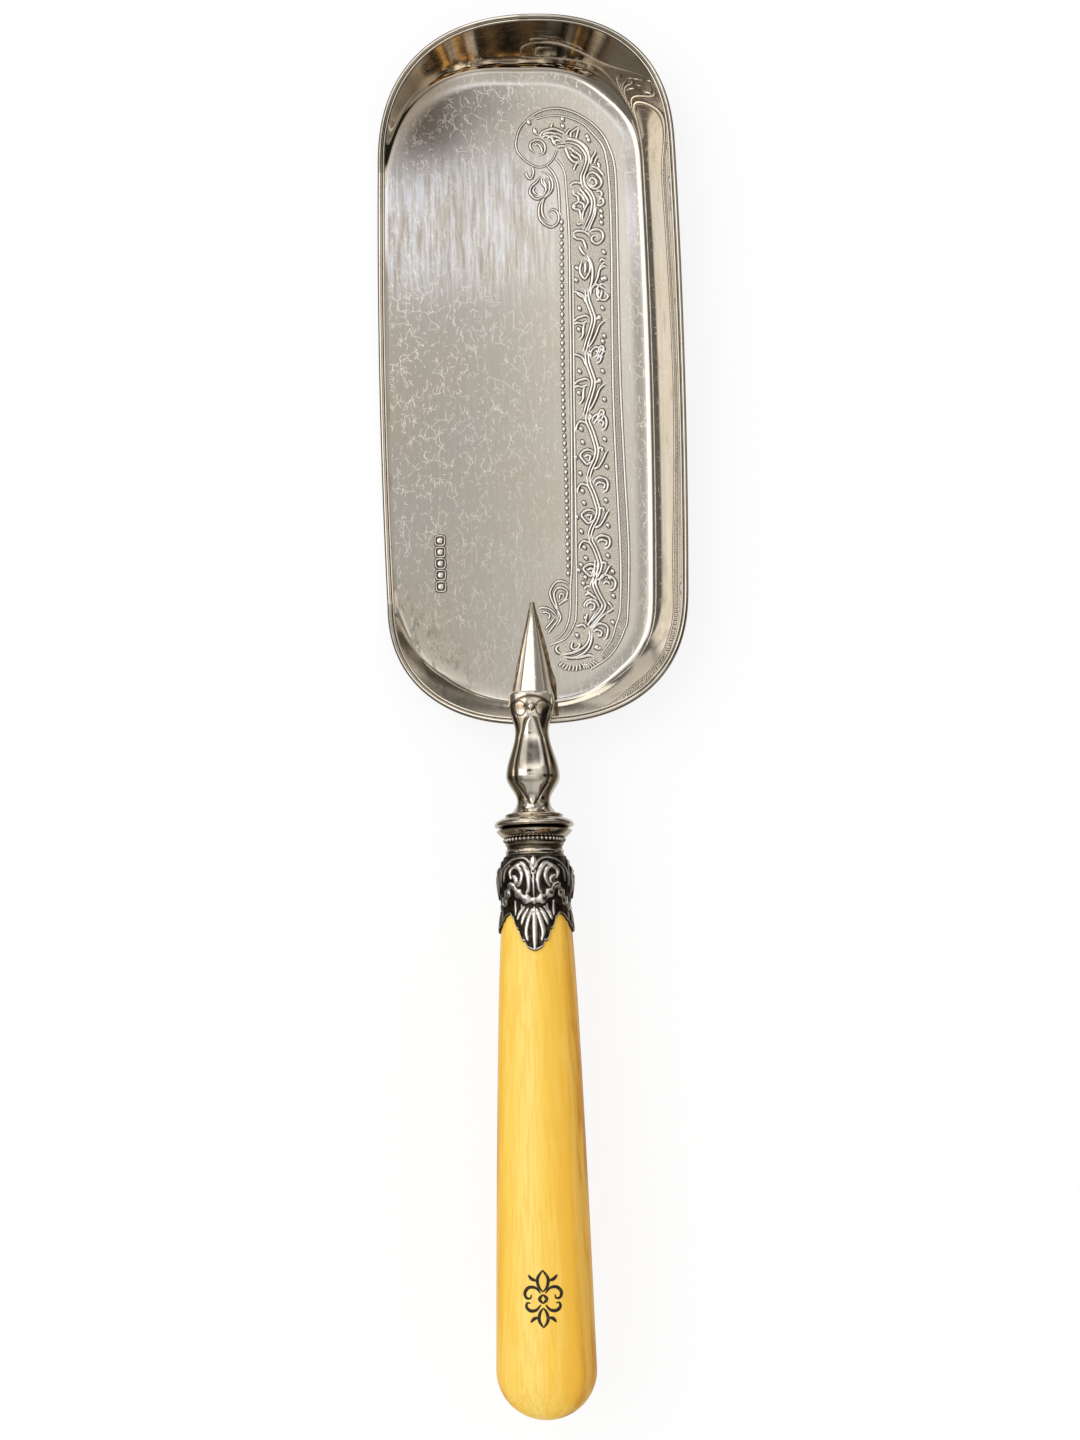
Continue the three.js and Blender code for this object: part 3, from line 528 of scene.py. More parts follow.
# Relief of the ferrule over one quarter. Each line holds half width in
# millimetres, share of the height, pitch of its twist, and points in degrees
# from the face's middle and millimetres below the top.
FERRULE_STROKES = """
1.2 1.0 0 0,0.9 0,2.0 0,3.6
0.42 0.75 0 0,4.4 0,9.9
0.42 0.6 0 60,7.2 58,3.7 43,1.5 26,0.85 12,1.3 4,2.9 2.5,4.7
0.72 0.9 0 32,2.8 20,2.2 11,3.7 7.4,5.7 8,8 12,9.1
0.6 0.85 0 36,5.6 39,4 32,3 23,3.4 18,4.9 20,6.4 25,7.4
0.75 0.8 0 33,5 28,5.8 29,6.8
0.4 0.6 0 52,6.2 50,3.6 42,2.5
1.35 1.0 2.4 35,7 26,8.9 14,10.2 -8,10.9
1.25 1.0 2.4 38,6.8 46.5,8.9 57,10.6 68,11.6 82,12
0.45 0.7 0 32,10.6 33,12 32,13.8
0.4 0.55 0 21,11.4 22,12.6 24,13.6
0.7 0.95 0 0,12.2 0,17 0,21.6
0.64 0.9 0 4,12.6 9.3,14.9 13.2,17.6 10.5,19.6
0.62 0.9 0 9.5,12.4 16.4,13.9 20.7,15.9
0.55 0.85 0 16,12 24,13.2 28,14.8
0.42 0.6 0 63,7.4 64,3.6 74,1.7 90,1.3
0.7 0.85 0 72,8.6 73,5 80,3.2 88,3.6
0.4 0.7 0 90,4.6 90,9.8
0.6 0.8 0 79,8 80,6 84,5.6
0.55 0.8 0 90,12.7 90,17
0.45 0.7 0 80,12.6 77,15.8
0.45 0.65 0 69,12.4 64,14.8
"""


CORNER_STEPS = 44
SIDE_STEPS = 26
WALL_STEPS = 26
WALL_CURVE = np.array([(0.0, 0.0), (0.25, 0.04), (0.45, 0.35), (1.0, 1.0)])
DISH = 0.2 * MM
DISH_FROM = 0.86


class Outline:
    """The pan's rim seen from above, with the wall's rise and run at each stop."""

    def __init__(self, sizes):
        self.sizes = sizes
        shares = np.arange(CORNER_STEPS) / CORNER_STEPS
        near_y, far_y = sizes.near_depth, sizes.length - sizes.far_depth
        side = np.arange(SIDE_STEPS) / SIDE_STEPS
        parts = [
            self.corner(1, shares, far_y, 1, sizes.far_fullness, self.far_right(shares)),
            self.corner(-1, 1 - shares, far_y, 1, sizes.far_fullness, self.far_left(shares)),
            self.straight(-1, mix(far_y, near_y, side), 0.0, sizes.lip),
            self.corner(-1, shares, near_y, -1, sizes.near_left_fullness, self.near_left(shares)),
            self.corner(1, 1 - shares, near_y, -1, sizes.near_right_fullness, self.near_right(shares)),
            self.straight(1, mix(near_y, far_y, side), 1.0, sizes.run_side),
        ]
        x, y, self.rise, self.run = (np.concatenate(column) for column in zip(*parts))
        middle = sizes.length / 2
        self.x = x * (1 - sizes.bow * ((y - middle) / middle) ** 2)
        self.y = y
        ahead = np.column_stack([np.roll(self.x, -1), np.roll(y, -1)])
        behind = np.column_stack([np.roll(self.x, 1), np.roll(y, 1)])
        run = ahead - behind
        out = np.column_stack([run[:, 1], -run[:, 0]])
        self.out = out / np.linalg.norm(out, axis=1)[:, None]

    def corner(self, side, shares, from_y, sign, fullness, rise_and_run):
        depth = self.sizes.far_depth if sign > 0 else self.sizes.near_depth
        across = self.sizes.width / 2 * np.cos(shares * QUARTER) ** (2 / fullness)
        along = depth * np.sin(shares * QUARTER) ** (2 / fullness)
        return side * across, from_y + sign * along, *rise_and_run

    def straight(self, side, y, rise, run):
        flat = np.ones_like(y)
        return side * self.sizes.width / 2 * flat, y, rise * flat, run * flat

    def far_right(self, shares):
        sizes = self.sizes
        return run_between(shares, sizes.run_side, sizes.run_far_right, sizes.run_far)

    def far_left(self, shares):
        rise = (1 - shares) ** self.sizes.far_rise
        return rise, mix(self.sizes.lip, self.sizes.run_far, rise)

    def near_left(self, shares):
        sizes = self.sizes
        early = mix(sizes.lip, sizes.run_near_left, np.minimum(1, (shares * 2) ** sizes.near_rise))
        late = mix(sizes.run_near_left, sizes.run_near, smooth(shares * 2 - 1))
        return shares**sizes.near_rise, np.where(shares < 0.5, early, late)

    def near_right(self, shares):
        sizes = self.sizes
        return run_between(shares, sizes.run_near, sizes.run_near_right, sizes.run_side)

    def wall(self, amount, depth):
        """Ring of wall points at a share of the wall, at a depth in the sheet."""
        sizes = self.sizes
        rim = sizes.wire_width - sizes.wire_inside
        run = self.run + sizes.bend - rim
        height = (sizes.wall - sizes.sheet) * self.rise
        place, slope = bezier(amount)
        lean = mix(np.arctan2(slope[1] * height, slope[0] * run), QUARTER, amount**3)
        across = (place[0] - 1) * run - rim + np.sin(lean) * depth
        up = sizes.sheet + mix(DISH * self.rise, height, place[1]) - np.cos(lean) * depth
        flat = np.column_stack([self.x, self.y + NEAR_Y]) + self.out * across[:, None]
        return np.column_stack([flat, up])

    def floor(self, amount, up):
        """Ring of floor points, drawn in towards the pan's middle line."""
        ring = self.wall(0.0, 0.0)
        sizes = self.sizes
        low, high = NEAR_Y + sizes.near_depth, NEAR_Y + sizes.length - sizes.far_depth
        spine = np.column_stack([np.zeros(len(ring)), np.clip(ring[:, 1], low, high)])
        flat = mix(spine, ring[:, :2], amount)
        dished = DISH * self.rise * max(0.0, (amount - DISH_FROM) / (1 - DISH_FROM)) ** 2
        return np.column_stack([flat, up + dished])

    def lip_stops(self):
        """Stops along the open lip, and round the rest of the rim."""
        first = CORNER_STEPS * 2
        last = first + SIDE_STEPS
        return np.arange(first, last + 1), np.arange(last, first + len(self.x) + 1) % len(self.x)


def run_between(shares, start, middle, end):
    """Full rise round a corner, and runs through one at each end and one at its middle."""
    first = mix(start, middle, smooth(shares * 2))
    run = np.where(shares < 0.5, first, mix(middle, end, smooth(shares * 2 - 1)))
    return np.ones_like(shares), run


def bezier(amount):
    """Place and slope of the wall's section."""
    a, b, c, d = WALL_CURVE
    rest = 1 - amount
    place = a * rest**3 + 3 * b * amount * rest**2 + 3 * c * amount**2 * rest + d * amount**3
    slope = 3 * (b - a) * rest**2 + 6 * (c - b) * amount * rest + 3 * (d - c) * amount**2
    return place, slope


# Tone of the pan's underside. Its floor has 0 and its wall 1 or a share of it.
UNDERSIDE = -0.5


def build_pan_mesh(sizes, finish):
    """Floor and wall as one sheet of even thickness."""
    outline = Outline(sizes)
    shrink = [0.3, 0.65, DISH_FROM, 0.89, 0.92, 0.95, 0.98]
    rings = [outline.floor(amount, 0.0) for amount in shrink]
    tones = [UNDERSIDE] * len(shrink)
    for step in range(WALL_STEPS + 1):
        rings.append(outline.wall(step / WALL_STEPS, sizes.sheet))
        tones.append(1.0)
    for step in range(WALL_STEPS, -1, -1):
        rings.append(outline.wall(step / WALL_STEPS, 0.0))
        tones.append(step / WALL_STEPS)
    rings += [outline.floor(amount, sizes.sheet) for amount in reversed(shrink)]
    tones += [0.0] * len(shrink)
    form = Form(rings, np.array(tones)[:, None])
    return form.make("silver_pan", finish, "satin_silver", crease=50)


# Section of the rim wire: a small inner reed, a groove and a round outer bead.
WIRE = np.array(
    [
        (0.0, 0.0), (0.0, 0.34), (0.05, 0.5), (0.15, 0.57), (0.24, 0.52), (0.31, 0.36),
        (0.36, 0.5), (0.42, 0.76), (0.52, 0.94), (0.64, 1.0), (0.77, 0.95), (0.9, 0.76),
        (0.98, 0.5), (1.0, 0.3), (1.0, 0.0),
    ]
)  # fmt: skip
# Tones across the section: the groove is dark with oxide, the lower sides are darkened as painted
# shade, and the top stays bright.
WIRE_SHADE_TONES = [0, 0.4, 0.95, 1, 0.9, 0, 0.2, 1, 1, 1, 1, 0.6, 0.45, 0.3, 0]
WIRE_SEAT = 0.04 * MM


def build_wire_mesh(outline, stops, name, finish):
    """One rim wire along the given stops."""
    sizes = outline.sizes
    seat = outline.wall(1.0, 0.0)[stops]
    out = np.column_stack([outline.out, np.zeros(len(outline.out))])[stops]
    across = WIRE[:, 0] * sizes.wire_width - sizes.wire_inside
    rings = seat[:, None] + out[:, None] * across[None, :, None]
    wobble = WIRE_SEAT * np.sin(stops * 1.7) * np.sin(stops * 0.37 + 1)
    rings[:, :, 2] += WIRE[None, :, 1] * (sizes.wire_height - WIRE_SEAT + wobble[:, None])
    rings[:, :, 2] += WIRE_SEAT
    return Form(rings, WIRE_SHADE_TONES).make(name, finish, "bright_silver", crease=60)


def on_floor(flat, rise):
    """Flat pan points, and heights over the floor, as points of the row frame."""
    sheet = bpy.context.scene.crumb_pan.sheet
    return np.concatenate([flat + [0.0, NEAR_Y], (sheet + rise)[..., None]], axis=-1)


LINE_HALF = 0.27 * MM
LINE_HEIGHT = 0.13 * MM
LINE_SPACING = 0.3 * MM

# Half section of a raised engraved line: share across, share of height, tone. The tone-0 skirt at its
# foot is a dark outline, partly oxide and partly painted shade.
RIDGE_HALF = np.array(
    [
        (-2.1, -1.0, 0.0), (-2.1, 0.14, 0.5), (-1.85, 0.16, 0.0),
        (-1.1, 0.17, 0.0), (-0.85, 0.6, 0.9), (-0.35, 1.0, 1.0),
    ]
)  # fmt: skip
RIDGE = np.vstack([RIDGE_HALF, RIDGE_HALF[::-1] * [-1, 1, 1]])


def swept(path, across, section, taper):
    """Flat points of a section, given as offsets, swept along a path that it tapers on."""
    return path[:, None] + across[:, None] * section[None, :, None] * taper[:, None, None]


def ridge(form, points, half=LINE_HALF, aside=0.0, blunt=0.25):
    """Adds one tapered ridge to the pan's floor, along a curve or to one side of it."""
    path = curve_through(points, LINE_SPACING)
    across = sideways(path)
    taper = blunt + (1 - blunt) * clamp(np.sin(np.linspace(0, 1, len(path)) * math.pi) * 2.2)
    flat = swept(path + across * aside, across, RIDGE[:, 0] * half, taper)
    rise = RIDGE[None, :, 1] * LINE_HEIGHT * np.where(RIDGE[None, :, 1] > 0, taper[:, None], 1.0)
    form.stack(on_floor(flat, rise), np.broadcast_to(RIDGE[:, 2], rise.shape))


def mound(form, place, shape, levels, height):
    """Stacks copies of an outline on the floor. A level holds spread, share of height and tone."""
    spread, rise, tone = np.array(levels).T[:, :, None]
    flat = place + shape * spread[..., None]
    form.stack(on_floor(flat, rise * height * np.ones(len(shape))), tone)


DROP_LEVELS = (
    (1.5, -0.5, 0.5), (1.5, 0.1, 0.5), (1.38, 0.12, 0.0),
    (1.06, 0.13, 0.0), (0.8, 0.75, 1.0), (0.3, 1.0, 1.0),
)  # fmt: skip


def drop(form, place, long=0.62 * MM, wide=0.42 * MM, lean=0.5):
    """A small raised seed with a dark rim, partly oxide and partly painted shadow."""
    x, y = np.cos(turns(10)) * wide, np.sin(turns(10)) * long
    c, s = math.cos(lean), math.sin(lean)
    shape = np.column_stack([x * c - y * s, x * s + y * c])
    mound(form, place, shape, DROP_LEVELS, 1.3 * LINE_HEIGHT)


GROUND_ROWS = 150
GROUND_RISE = 0.015 * MM


def build_ground_mesh(finish):
    """The matted ground of the border, a very thin plate between its two lines."""
    sides = []
    for table in (GROUND_LEFT, GROUND_RIGHT):
        line = curve_through(strokes_of(table)[0], 1.0 * MM)
        sides.append(line[np.linspace(0, len(line) - 1, GROUND_ROWS).astype(int)])
    rise = np.array([GROUND_RISE, GROUND_RISE, GROUND_RISE, -0.3 * MM, -0.3 * MM])
    rings = [on_floor(np.array([a, mix(a, b, 0.5), b, b, a]), rise) for a, b in zip(*sides)]
    return Form(rings, 0.5).make("matted_ground", finish, "satin_silver", crease=35)


# The milled strip between the border's two outer lines, and the row of seeds beside it.
MILLED_PITCH = 0.62 * MM
MILLED_STOPS = slice(14, -6)
MILLED_WIDTH = 2.6 * MM
SEED_PITCH = 1.72 * MM


def build_border_mesh(finish):
    """Outlines of the border, its scrolls, the milled strip and the bead line."""
    form = Form()
    for points in strokes_of(BORDER_LINES):
        ridge(form, points, half=0.2 * MM, blunt=0.8)
    for points in strokes_of(SCROLL_STROKES):
        ridge(form, points, half=0.22 * MM)
    outer, inner = (curve_through(line, MILLED_PITCH) for line in strokes_of(BORDER_LINES)[:2])
    for place in outer[MILLED_STOPS]:
        near = inner[np.argmin(np.linalg.norm(inner - place, axis=1))]
        if np.linalg.norm(near - place) < MILLED_WIDTH:
            tick = np.array([mix(place, near, 0.22), mix(place, near, 0.78) + [0.0, 0.25 * MM]])
            ridge(form, tick, half=0.1 * MM, blunt=0.7)
    for place in curve_through(strokes_of(BEAD_LINE)[0], SEED_PITCH):
        drop(form, place, long=0.58 * MM, wide=0.4 * MM, lean=0.0)
    return form.make("engraved_border", finish, "bright_silver", crease=80)


# Where the vine's repeats start, where they end, and the drawn length of each kind.
CURL_NODES = ((13.1, 73.9), (13.0, 58.8), (13.1, 45.0))
CURL_REACH = 12.4
LEAF_NODES = ((13.7, 104.4), (13.3, 89.3))
LEAF_REACH = 14.4
VINE_END = (12.9, 32.8)
STEM_HALF_GAP = 0.36 * MM


def build_vine_mesh(finish):
    """The scrolling vine: a leafy crest, repeats down the band and a foot."""
    form = Form()
    vine = [(CREST_STROKES, CREST_DROPS, (0.0, 0.0), 1.0), (FOOT_STROKES, FOOT_DROPS, (0.0, 0.0), 1.0)]
    for nodes, strokes, drops, reach, after in (
        (CURL_NODES, CURL_STROKES, CURL_DROPS, CURL_REACH, VINE_END),
        (LEAF_NODES, LEAF_STROKES, LEAF_DROPS, LEAF_REACH, CURL_NODES[0]),
    ):
        ends = [*nodes[1:], after]
        for node, end in zip(nodes, ends):
            vine.append((strokes, drops, node, (node[1] - end[1]) / reach))
    for strokes, drops, place, stretch in vine:
        origin = np.array(place) * MM
        scale = np.array([1.0, stretch])
        stem, *leaves = (origin + points * scale for points in strokes_of(strokes))
        for aside in (-STEM_HALF_GAP, STEM_HALF_GAP):
            ridge(form, stem, half=0.25 * MM, aside=aside, blunt=0.6)
        for points in leaves:
            ridge(form, points)
        for seed in strokes_of(drops)[0]:
            drop(form, origin + seed * scale)
    return form.make("engraved_vine", finish, "bright_silver", crease=80)


PUNCH_TOP = np.array([-22.7, 45.3]) * MM
PUNCH_COUNT = 5
PUNCH_PITCH = 2.75 * MM
PUNCH_HALF = 1.2 * MM
PUNCH_HEIGHT = 0.16 * MM
# Each level of a panel holds spread, share of height and tone. The dark skirt round the panel is partly
# oxide and partly painted shade, and its sunk middle is dark with oxide.
PUNCH_LEVELS = (
    (1.24, -1.0, 0.0), (1.22, 0.14, 0.0), (1.06, 0.16, 0.0), (1.0, 0.9, 0.9), (0.9, 0.9, 0.9),
    (0.84, 0.12, 0.0), (0.52, 0.12, 0.0), (0.46, 0.6, 1.0), (0.2, 0.6, 1.0),
)  # fmt: skip


def build_punches_mesh(finish):
    """A column of five plain punched panels, each with a small lozenge."""
    form = Form()
    edge = np.column_stack([np.cos(turns(28)), np.sin(turns(28))])
    edge *= PUNCH_HALF / (np.abs(edge) ** 4).sum(1, keepdims=True) ** 0.25
    for i in range(PUNCH_COUNT):
        middle = PUNCH_TOP - [0.0, PUNCH_PITCH * i]
        mound(form, middle, edge, PUNCH_LEVELS, PUNCH_HEIGHT)
        drop(form, middle, long=0.34 * MM, wide=0.3 * MM, lean=0.6 * i)
    return form.make("blank_punches", finish, "satin_silver", crease=80)


SIDES = 112
TANG_HOLE = 2.3 * MM


class Axis:
    """The handle's line. Stations run from over the near rim down the handle."""

    def __init__(self, scene):
        shank, ferrule = scene.crumb_shank, scene.crumb_ferrule
        self.scene = scene
        self.x = scene.crumb_spur.offset
        self.height = scene.crumb_pan.wall + shank.over_rim
        self.tilt = shank.tilt
        self.collar = shank.length + ferrule.gap
        self.cap = self.collar + ferrule.collar_thickness + ferrule.gap
        self.ferrule = self.cap + ferrule.cap_length + ferrule.gap
        self.waist = self.ferrule + ferrule.waist_at
        self.handle = self.waist - scene.crumb_handle.insert

    def place(self, x, at, z):
        """Points of the row frame from side, station and height on the line."""
        x, at, z = np.broadcast_arrays(x, at, z)
        across = self.x + x
        along = NEAR_Y - at * math.cos(self.tilt) + z * math.sin(self.tilt)
        up = self.height + at * math.sin(self.tilt) + z * math.cos(self.tilt)
        return np.stack([across, along, up], axis=-1)

    def around(self, radius, at, angle):
        """Points of the row frame from radius, station and angle from the top."""
        return self.place(radius * np.sin(angle), at, radius * np.cos(angle))

    def turned(self, profile, tones):
        """A turned form from its closed profile of radius and station."""
        profile = np.asarray(profile, float)
        rings = self.around(profile[:, 0], profile[:, 1], turns(SIDES)[:, None])
        return Form(rings, tones, closed=True)


# Half section of the spur: share across, share of height.
SPUR_HALF = [
    (1.0, 0.0), (0.985, 0.06), (0.84, 0.42), (0.815, 0.47), (0.77, 0.575), (0.7, 0.737),
    (0.63, 0.9), (0.6, 0.955), (0.55, 0.99), (0.5, 1.0), (0.25, 1.015),
]  # fmt: skip


# Tones at shares across the spur, whose dark stripes along the bevels and at the foot are painted
# shade, and painted shade on its left side at distances from the rim.
SPUR_SHADE_TONES = (0.52, 0.56, 0.62, 0.7, 0.78, 0.82, 0.86, 1.0), (0.85, 1.0, 0.12, 0.25, 0.8, 1.0, 0.1, 0.0)
SPUR_LEFT_SHADE = (6 * MM, 9 * MM, 14 * MM, 18 * MM), (0.8, 0.72, 0.4, 0.0)
SPUR_SWELL = 0.05


def spur_amount(y, spur, shank):
    """Share of the spur's width left at each distance from the rim."""
    return np.minimum(1.0, (spur.reach - y) / (spur.reach - shank.reach))


def spur_width(amount, spur):
    return spur.width * (0.04 + 0.96 * amount) * (1 + SPUR_SWELL * np.sin(amount * math.pi))


def build_spur_mesh(axis, finish):
    """The tongue: a bevelled wedge drawn down to a point on the floor."""
    pan, spur, shank = axis.scene.crumb_pan, axis.scene.crumb_spur, axis.scene.crumb_shank
    foot = axis.height - shank.knuckle_height / 2 - 0.3 * MM - shank.reach * math.tan(axis.tilt)
    start = pan.wire_width
    run = pan.run_near + pan.bend - start
    wall = np.array([bezier(step / 20)[0] for step in range(21)])
    wall_y = (start + (1 - wall[:, 0]) * run)[::-1]
    wall_z = (pan.sheet + wall[:, 1] * (pan.wall - pan.sheet))[::-1]
    half = np.array(SPUR_HALF)
    section = np.vstack([half, [(0.0, 1.02)], half[::-1] * [-1, 1]])
    stations = [start, 3 * MM, 4.5 * MM, 6 * MM, *np.linspace(shank.reach, spur.reach * 0.994, 46)]
    rings = []
    for y in stations:
        amount = spur_amount(y, spur, shank)
        widths = [0, spur.facet * (0.02 + 0.98 * amount) / 2, spur_width(amount, spur) / 2]
        across = np.interp(np.abs(section[:, 0]), [0, 0.55, 1], widths)
        bottom = np.interp(y, wall_y, wall_z) - pan.sheet * 0.6
        top = mix(pan.sheet + spur.tip, foot, amount**spur.curve)
        ring = [across * np.sign(section[:, 0]) + spur.offset, np.full(len(section), y + NEAR_Y)]
        rings.append(np.column_stack([*ring, bottom + section[:, 1] * (top - bottom)]))
    share = np.abs(section[:, 0])
    tones = np.interp(share, *SPUR_SHADE_TONES)
    # Painted shade on the spur's left side, strongest by the rim and gone towards the tip.
    stain_and_shade = np.interp(stations, *SPUR_LEFT_SHADE)
    beside = (section[:, 0] < -0.6) * (share < 0.99)
    form = Form(rings, tones[None, :] * (1 - stain_and_shade[:, None] * beside))
    return form.make("bevelled_spur", finish, "bright_silver", crease=46)


SOLDER_STEPS = 44
SOLDER_SECTION = np.array(
    [(-1.0, -0.3), (-1.0, 1.5), (-0.2, 0.75), (0.55, 0.25), (1.0, 0.02), (1.0, -0.4)]
)


def build_solder_mesh(axis, finish):
    """Uneven seam of solder along both sides of the spur."""
    spur, shank = axis.scene.crumb_spur, axis.scene.crumb_shank
    draws = np.random.default_rng(7)
    form = Form()
    for side in (-1, 1):
        y = np.linspace(shank.reach - 0.6 * MM, spur.reach - 0.5 * MM, SOLDER_STEPS)[:, None]
        amount = spur_amount(y, spur, shank)
        x = spur.offset + side * spur_width(amount, spur) / 2
        grain = np.convolve(draws.random(SOLDER_STEPS + 4), np.ones(5) / 5, "valid")[:, None]
        wide = (0.1 + 1.1 * grain * (0.2 + 0.8 * amount) * (1.0 if side > 0 else 0.4)) * MM
        across = x + side * SOLDER_SECTION[:, 0] * wide
        flat = np.stack([across, y + 0 * across], -1)
        form.stack(on_floor(flat, SOLDER_SECTION[:, 1] * wide * 0.7), grain)
    return form.make("solder_seam", finish, "bright_silver", crease=80)


def shank_width(at, shank, knuckle):
    """Width of the shank at each station, through its knuckle, necks and bulge."""
    upper_at, bulge_at, lower_at = shank.upper_neck_at, shank.bulge_at, shank.lower_neck_at
    over = mix(shank.upper_neck, knuckle, smooth((upper_at - at) / (upper_at + 4 * MM)))
    upper = mix(shank.upper_neck, shank.bulge, smooth((at - upper_at) / (bulge_at - upper_at)))
    lower = mix(shank.lower_neck, shank.bulge, smooth((lower_at - at) / (lower_at - bulge_at)))
    flare = mix(shank.lower_neck, shank.foot, ((at - lower_at) / (shank.length - lower_at)) ** 2)
    places = [at < upper_at, at < bulge_at, at < lower_at]
    return np.select(places, [over, upper, lower], flare)


def build_shank_mesh(axis, finish):
    """Knuckle, faceted baluster with an arched front panel, and round foot."""
    shank = axis.scene.crumb_shank
    rows, sides = 190, 144
    at = np.linspace(-shank.reach, shank.length, rows)
    end = np.sqrt(clamp(1 - ((0.9 * MM - (at + shank.reach)).clip(0) / (0.9 * MM)) ** 2))
    ends = mix(0.8, 1.0, end)
    wide = shank_width(at, shank, shank.knuckle_width) / 2 * ends
    high = shank_width(at, shank, shank.knuckle_height) / 2 * ends
    arch_at, foot_at = -1.3 * MM, 19.0 * MM
    opened = np.sqrt(clamp((at - arch_at) / (5.0 * MM)))
    closed = np.sqrt(clamp((foot_at - at) / (4.5 * MM)))
    lozenge = 0.22 * clamp(1 - np.abs(at + 3.4 * MM) / (1.6 * MM))
    front = np.maximum(0.62 * opened * closed, lozenge)[:, None]
    turn = turns(sides)[None, :]
    c, s = np.cos(turn), np.sin(turn)
    rounding = smooth((at - shank.bulge_at) / (shank.lower_neck_at - shank.bulge_at))
    squareness = mix(2.6, 2.0, rounding)[:, None]
    round_box = (np.abs(c) ** squareness + np.abs(s) ** squareness) ** (-1 / squareness)
    off = front - np.abs(c) * round_box
    shown = clamp(front * 6)
    quirk = np.exp(-((off / 0.08) ** 2)) * shown
    lift = (0.12 * smooth(off / 0.1) * shown - 0.3 * quirk) * MM
    over = np.abs(c) * round_box
    # Painted shade: a dark arc across the knuckle and dark rings round two lobes on it, with no groove
    # under them.
    brow_shade = np.exp(-(((at[:, None] + 5.9 * MM - 2.4 * MM * over**2) / (0.5 * MM)) ** 2))
    lobe = np.hypot((over - 0.5) / 0.27, (at[:, None] + 3.1 * MM) / (1.7 * MM))
    brow_shade = np.maximum(brow_shade, np.exp(-(((lobe - 1) / 0.17) ** 2)))
    x = wide[:, None] * round_box * c
    z = high[:, None] * round_box * s + lift * np.sign(s)
    # The side bands outside the front panel are darkened as painted shade. The quirk round the panel is
    # a real groove, dark with oxide.
    band = 0.62 * smooth(-off / 0.12) * shown
    dark = np.maximum(0.97 * np.maximum(quirk, brow_shade), band) * (np.abs(s) > 0.4)
    form = Form(axis.place(x, at[:, None], z), 1 - dark)
    return form.make("faceted_shank", finish, "bright_silver", crease=60)


def build_collar_mesh(axis, finish):
    """The turned collar: a quirk, a fillet and a bold overhanging torus."""
    ferrule, shank = axis.scene.crumb_ferrule, axis.scene.crumb_shank
    foot, edge = shank.foot / 2, ferrule.collar / 2
    shares = [
        (0.0, 0.0), (0.12, 0.0), (0.28, 0.03), (0.35, 0.08), (0.375, 0.14), (0.36, 0.19), (0.33, 0.22),
        (0.34, 0.26), (0.42, 0.3), (0.6, 0.37), (0.78, 0.46), (0.9, 0.54), (0.96, 0.62), (1.0, 0.72),
        (0.995, 0.8), (0.96, 0.86), (0.86, 0.91), (0.72, 0.95), (0.6, 1.0),
    ]  # fmt: skip
    profile = [(mix(foot, edge, r), axis.collar + a * ferrule.collar_thickness) for r, a in shares]
    end = axis.collar + ferrule.collar_thickness
    profile = [(TANG_HOLE, axis.collar), *profile, (TANG_HOLE, end)]
    tones = np.ones(len(profile))
    tones[5:9] = 0.5
    tones[-5:] = (1.0, 0.9, 0.5, 0.1, 0.0)
    return axis.turned(profile, tones).make("turned_collar", finish, "bright_silver", crease=50)


def build_cap_mesh(axis, finish):
    """Flared rim, bead groove and ringed neck."""
    ferrule = axis.scene.crumb_ferrule
    rim, neck, bead = ferrule.cap / 2, ferrule.cap_neck / 2, ferrule.bead_ring / 2
    half = ferrule.bead / 2 + 0.06 * MM
    groove_at = ferrule.bead_at
    after = groove_at + half
    rest = ferrule.cap_length - after
    outline = [
        (rim - 1.5 * MM, 0.0, 0.0), (rim - 0.6 * MM, 0.14 * MM, 0.0), (rim - 0.15 * MM, 0.3 * MM, 0.3),
        (rim, 0.48 * MM, 1.0), (rim - 0.1 * MM, 0.7 * MM, 0.8),
        (mix(rim, bead, 0.35), 0.5 * groove_at, 0.6), (mix(rim, bead, 0.62), 0.7 * groove_at, 0.5),
        (bead + 0.3 * MM, groove_at - half - 0.1 * MM, 0.35),
        (bead + 0.1 * MM, groove_at - half, 0.1), (bead - half * 0.8, groove_at - half * 0.7, 0.0),
        (bead - half * 0.8, groove_at + half * 0.7, 0.0), (neck + 0.42 * MM, after, 0.1),
        (neck + 0.36 * MM, after + 0.18 * rest, 0.5), (neck + 0.1 * MM, after + 0.26 * rest, 0.05),
        (neck - 0.02 * MM, after + 0.36 * rest, 0.0), (neck - 0.02 * MM, after + 0.52 * rest, 0.1),
        (neck + 0.12 * MM, after + 0.6 * rest, 0.3), (neck + 0.3 * MM, after + 0.68 * rest, 0.9),
        (neck + 0.34 * MM, after + 0.78 * rest, 1.0), (neck + 0.22 * MM, after + 0.87 * rest, 0.2),
        (neck + 0.24 * MM, after + 0.93 * rest, 0.3), (neck + 0.3 * MM, ferrule.cap_length, 0.6),
    ]  # fmt: skip
    profile = np.array([(TANG_HOLE, 0.0, 0.0), *outline, (TANG_HOLE, ferrule.cap_length, 0.0)])
    form = axis.turned(profile[:, :2] + [0.0, axis.cap], profile[:, 2])
    return form.make("flared_cap", finish, "dark_silver", crease=50)


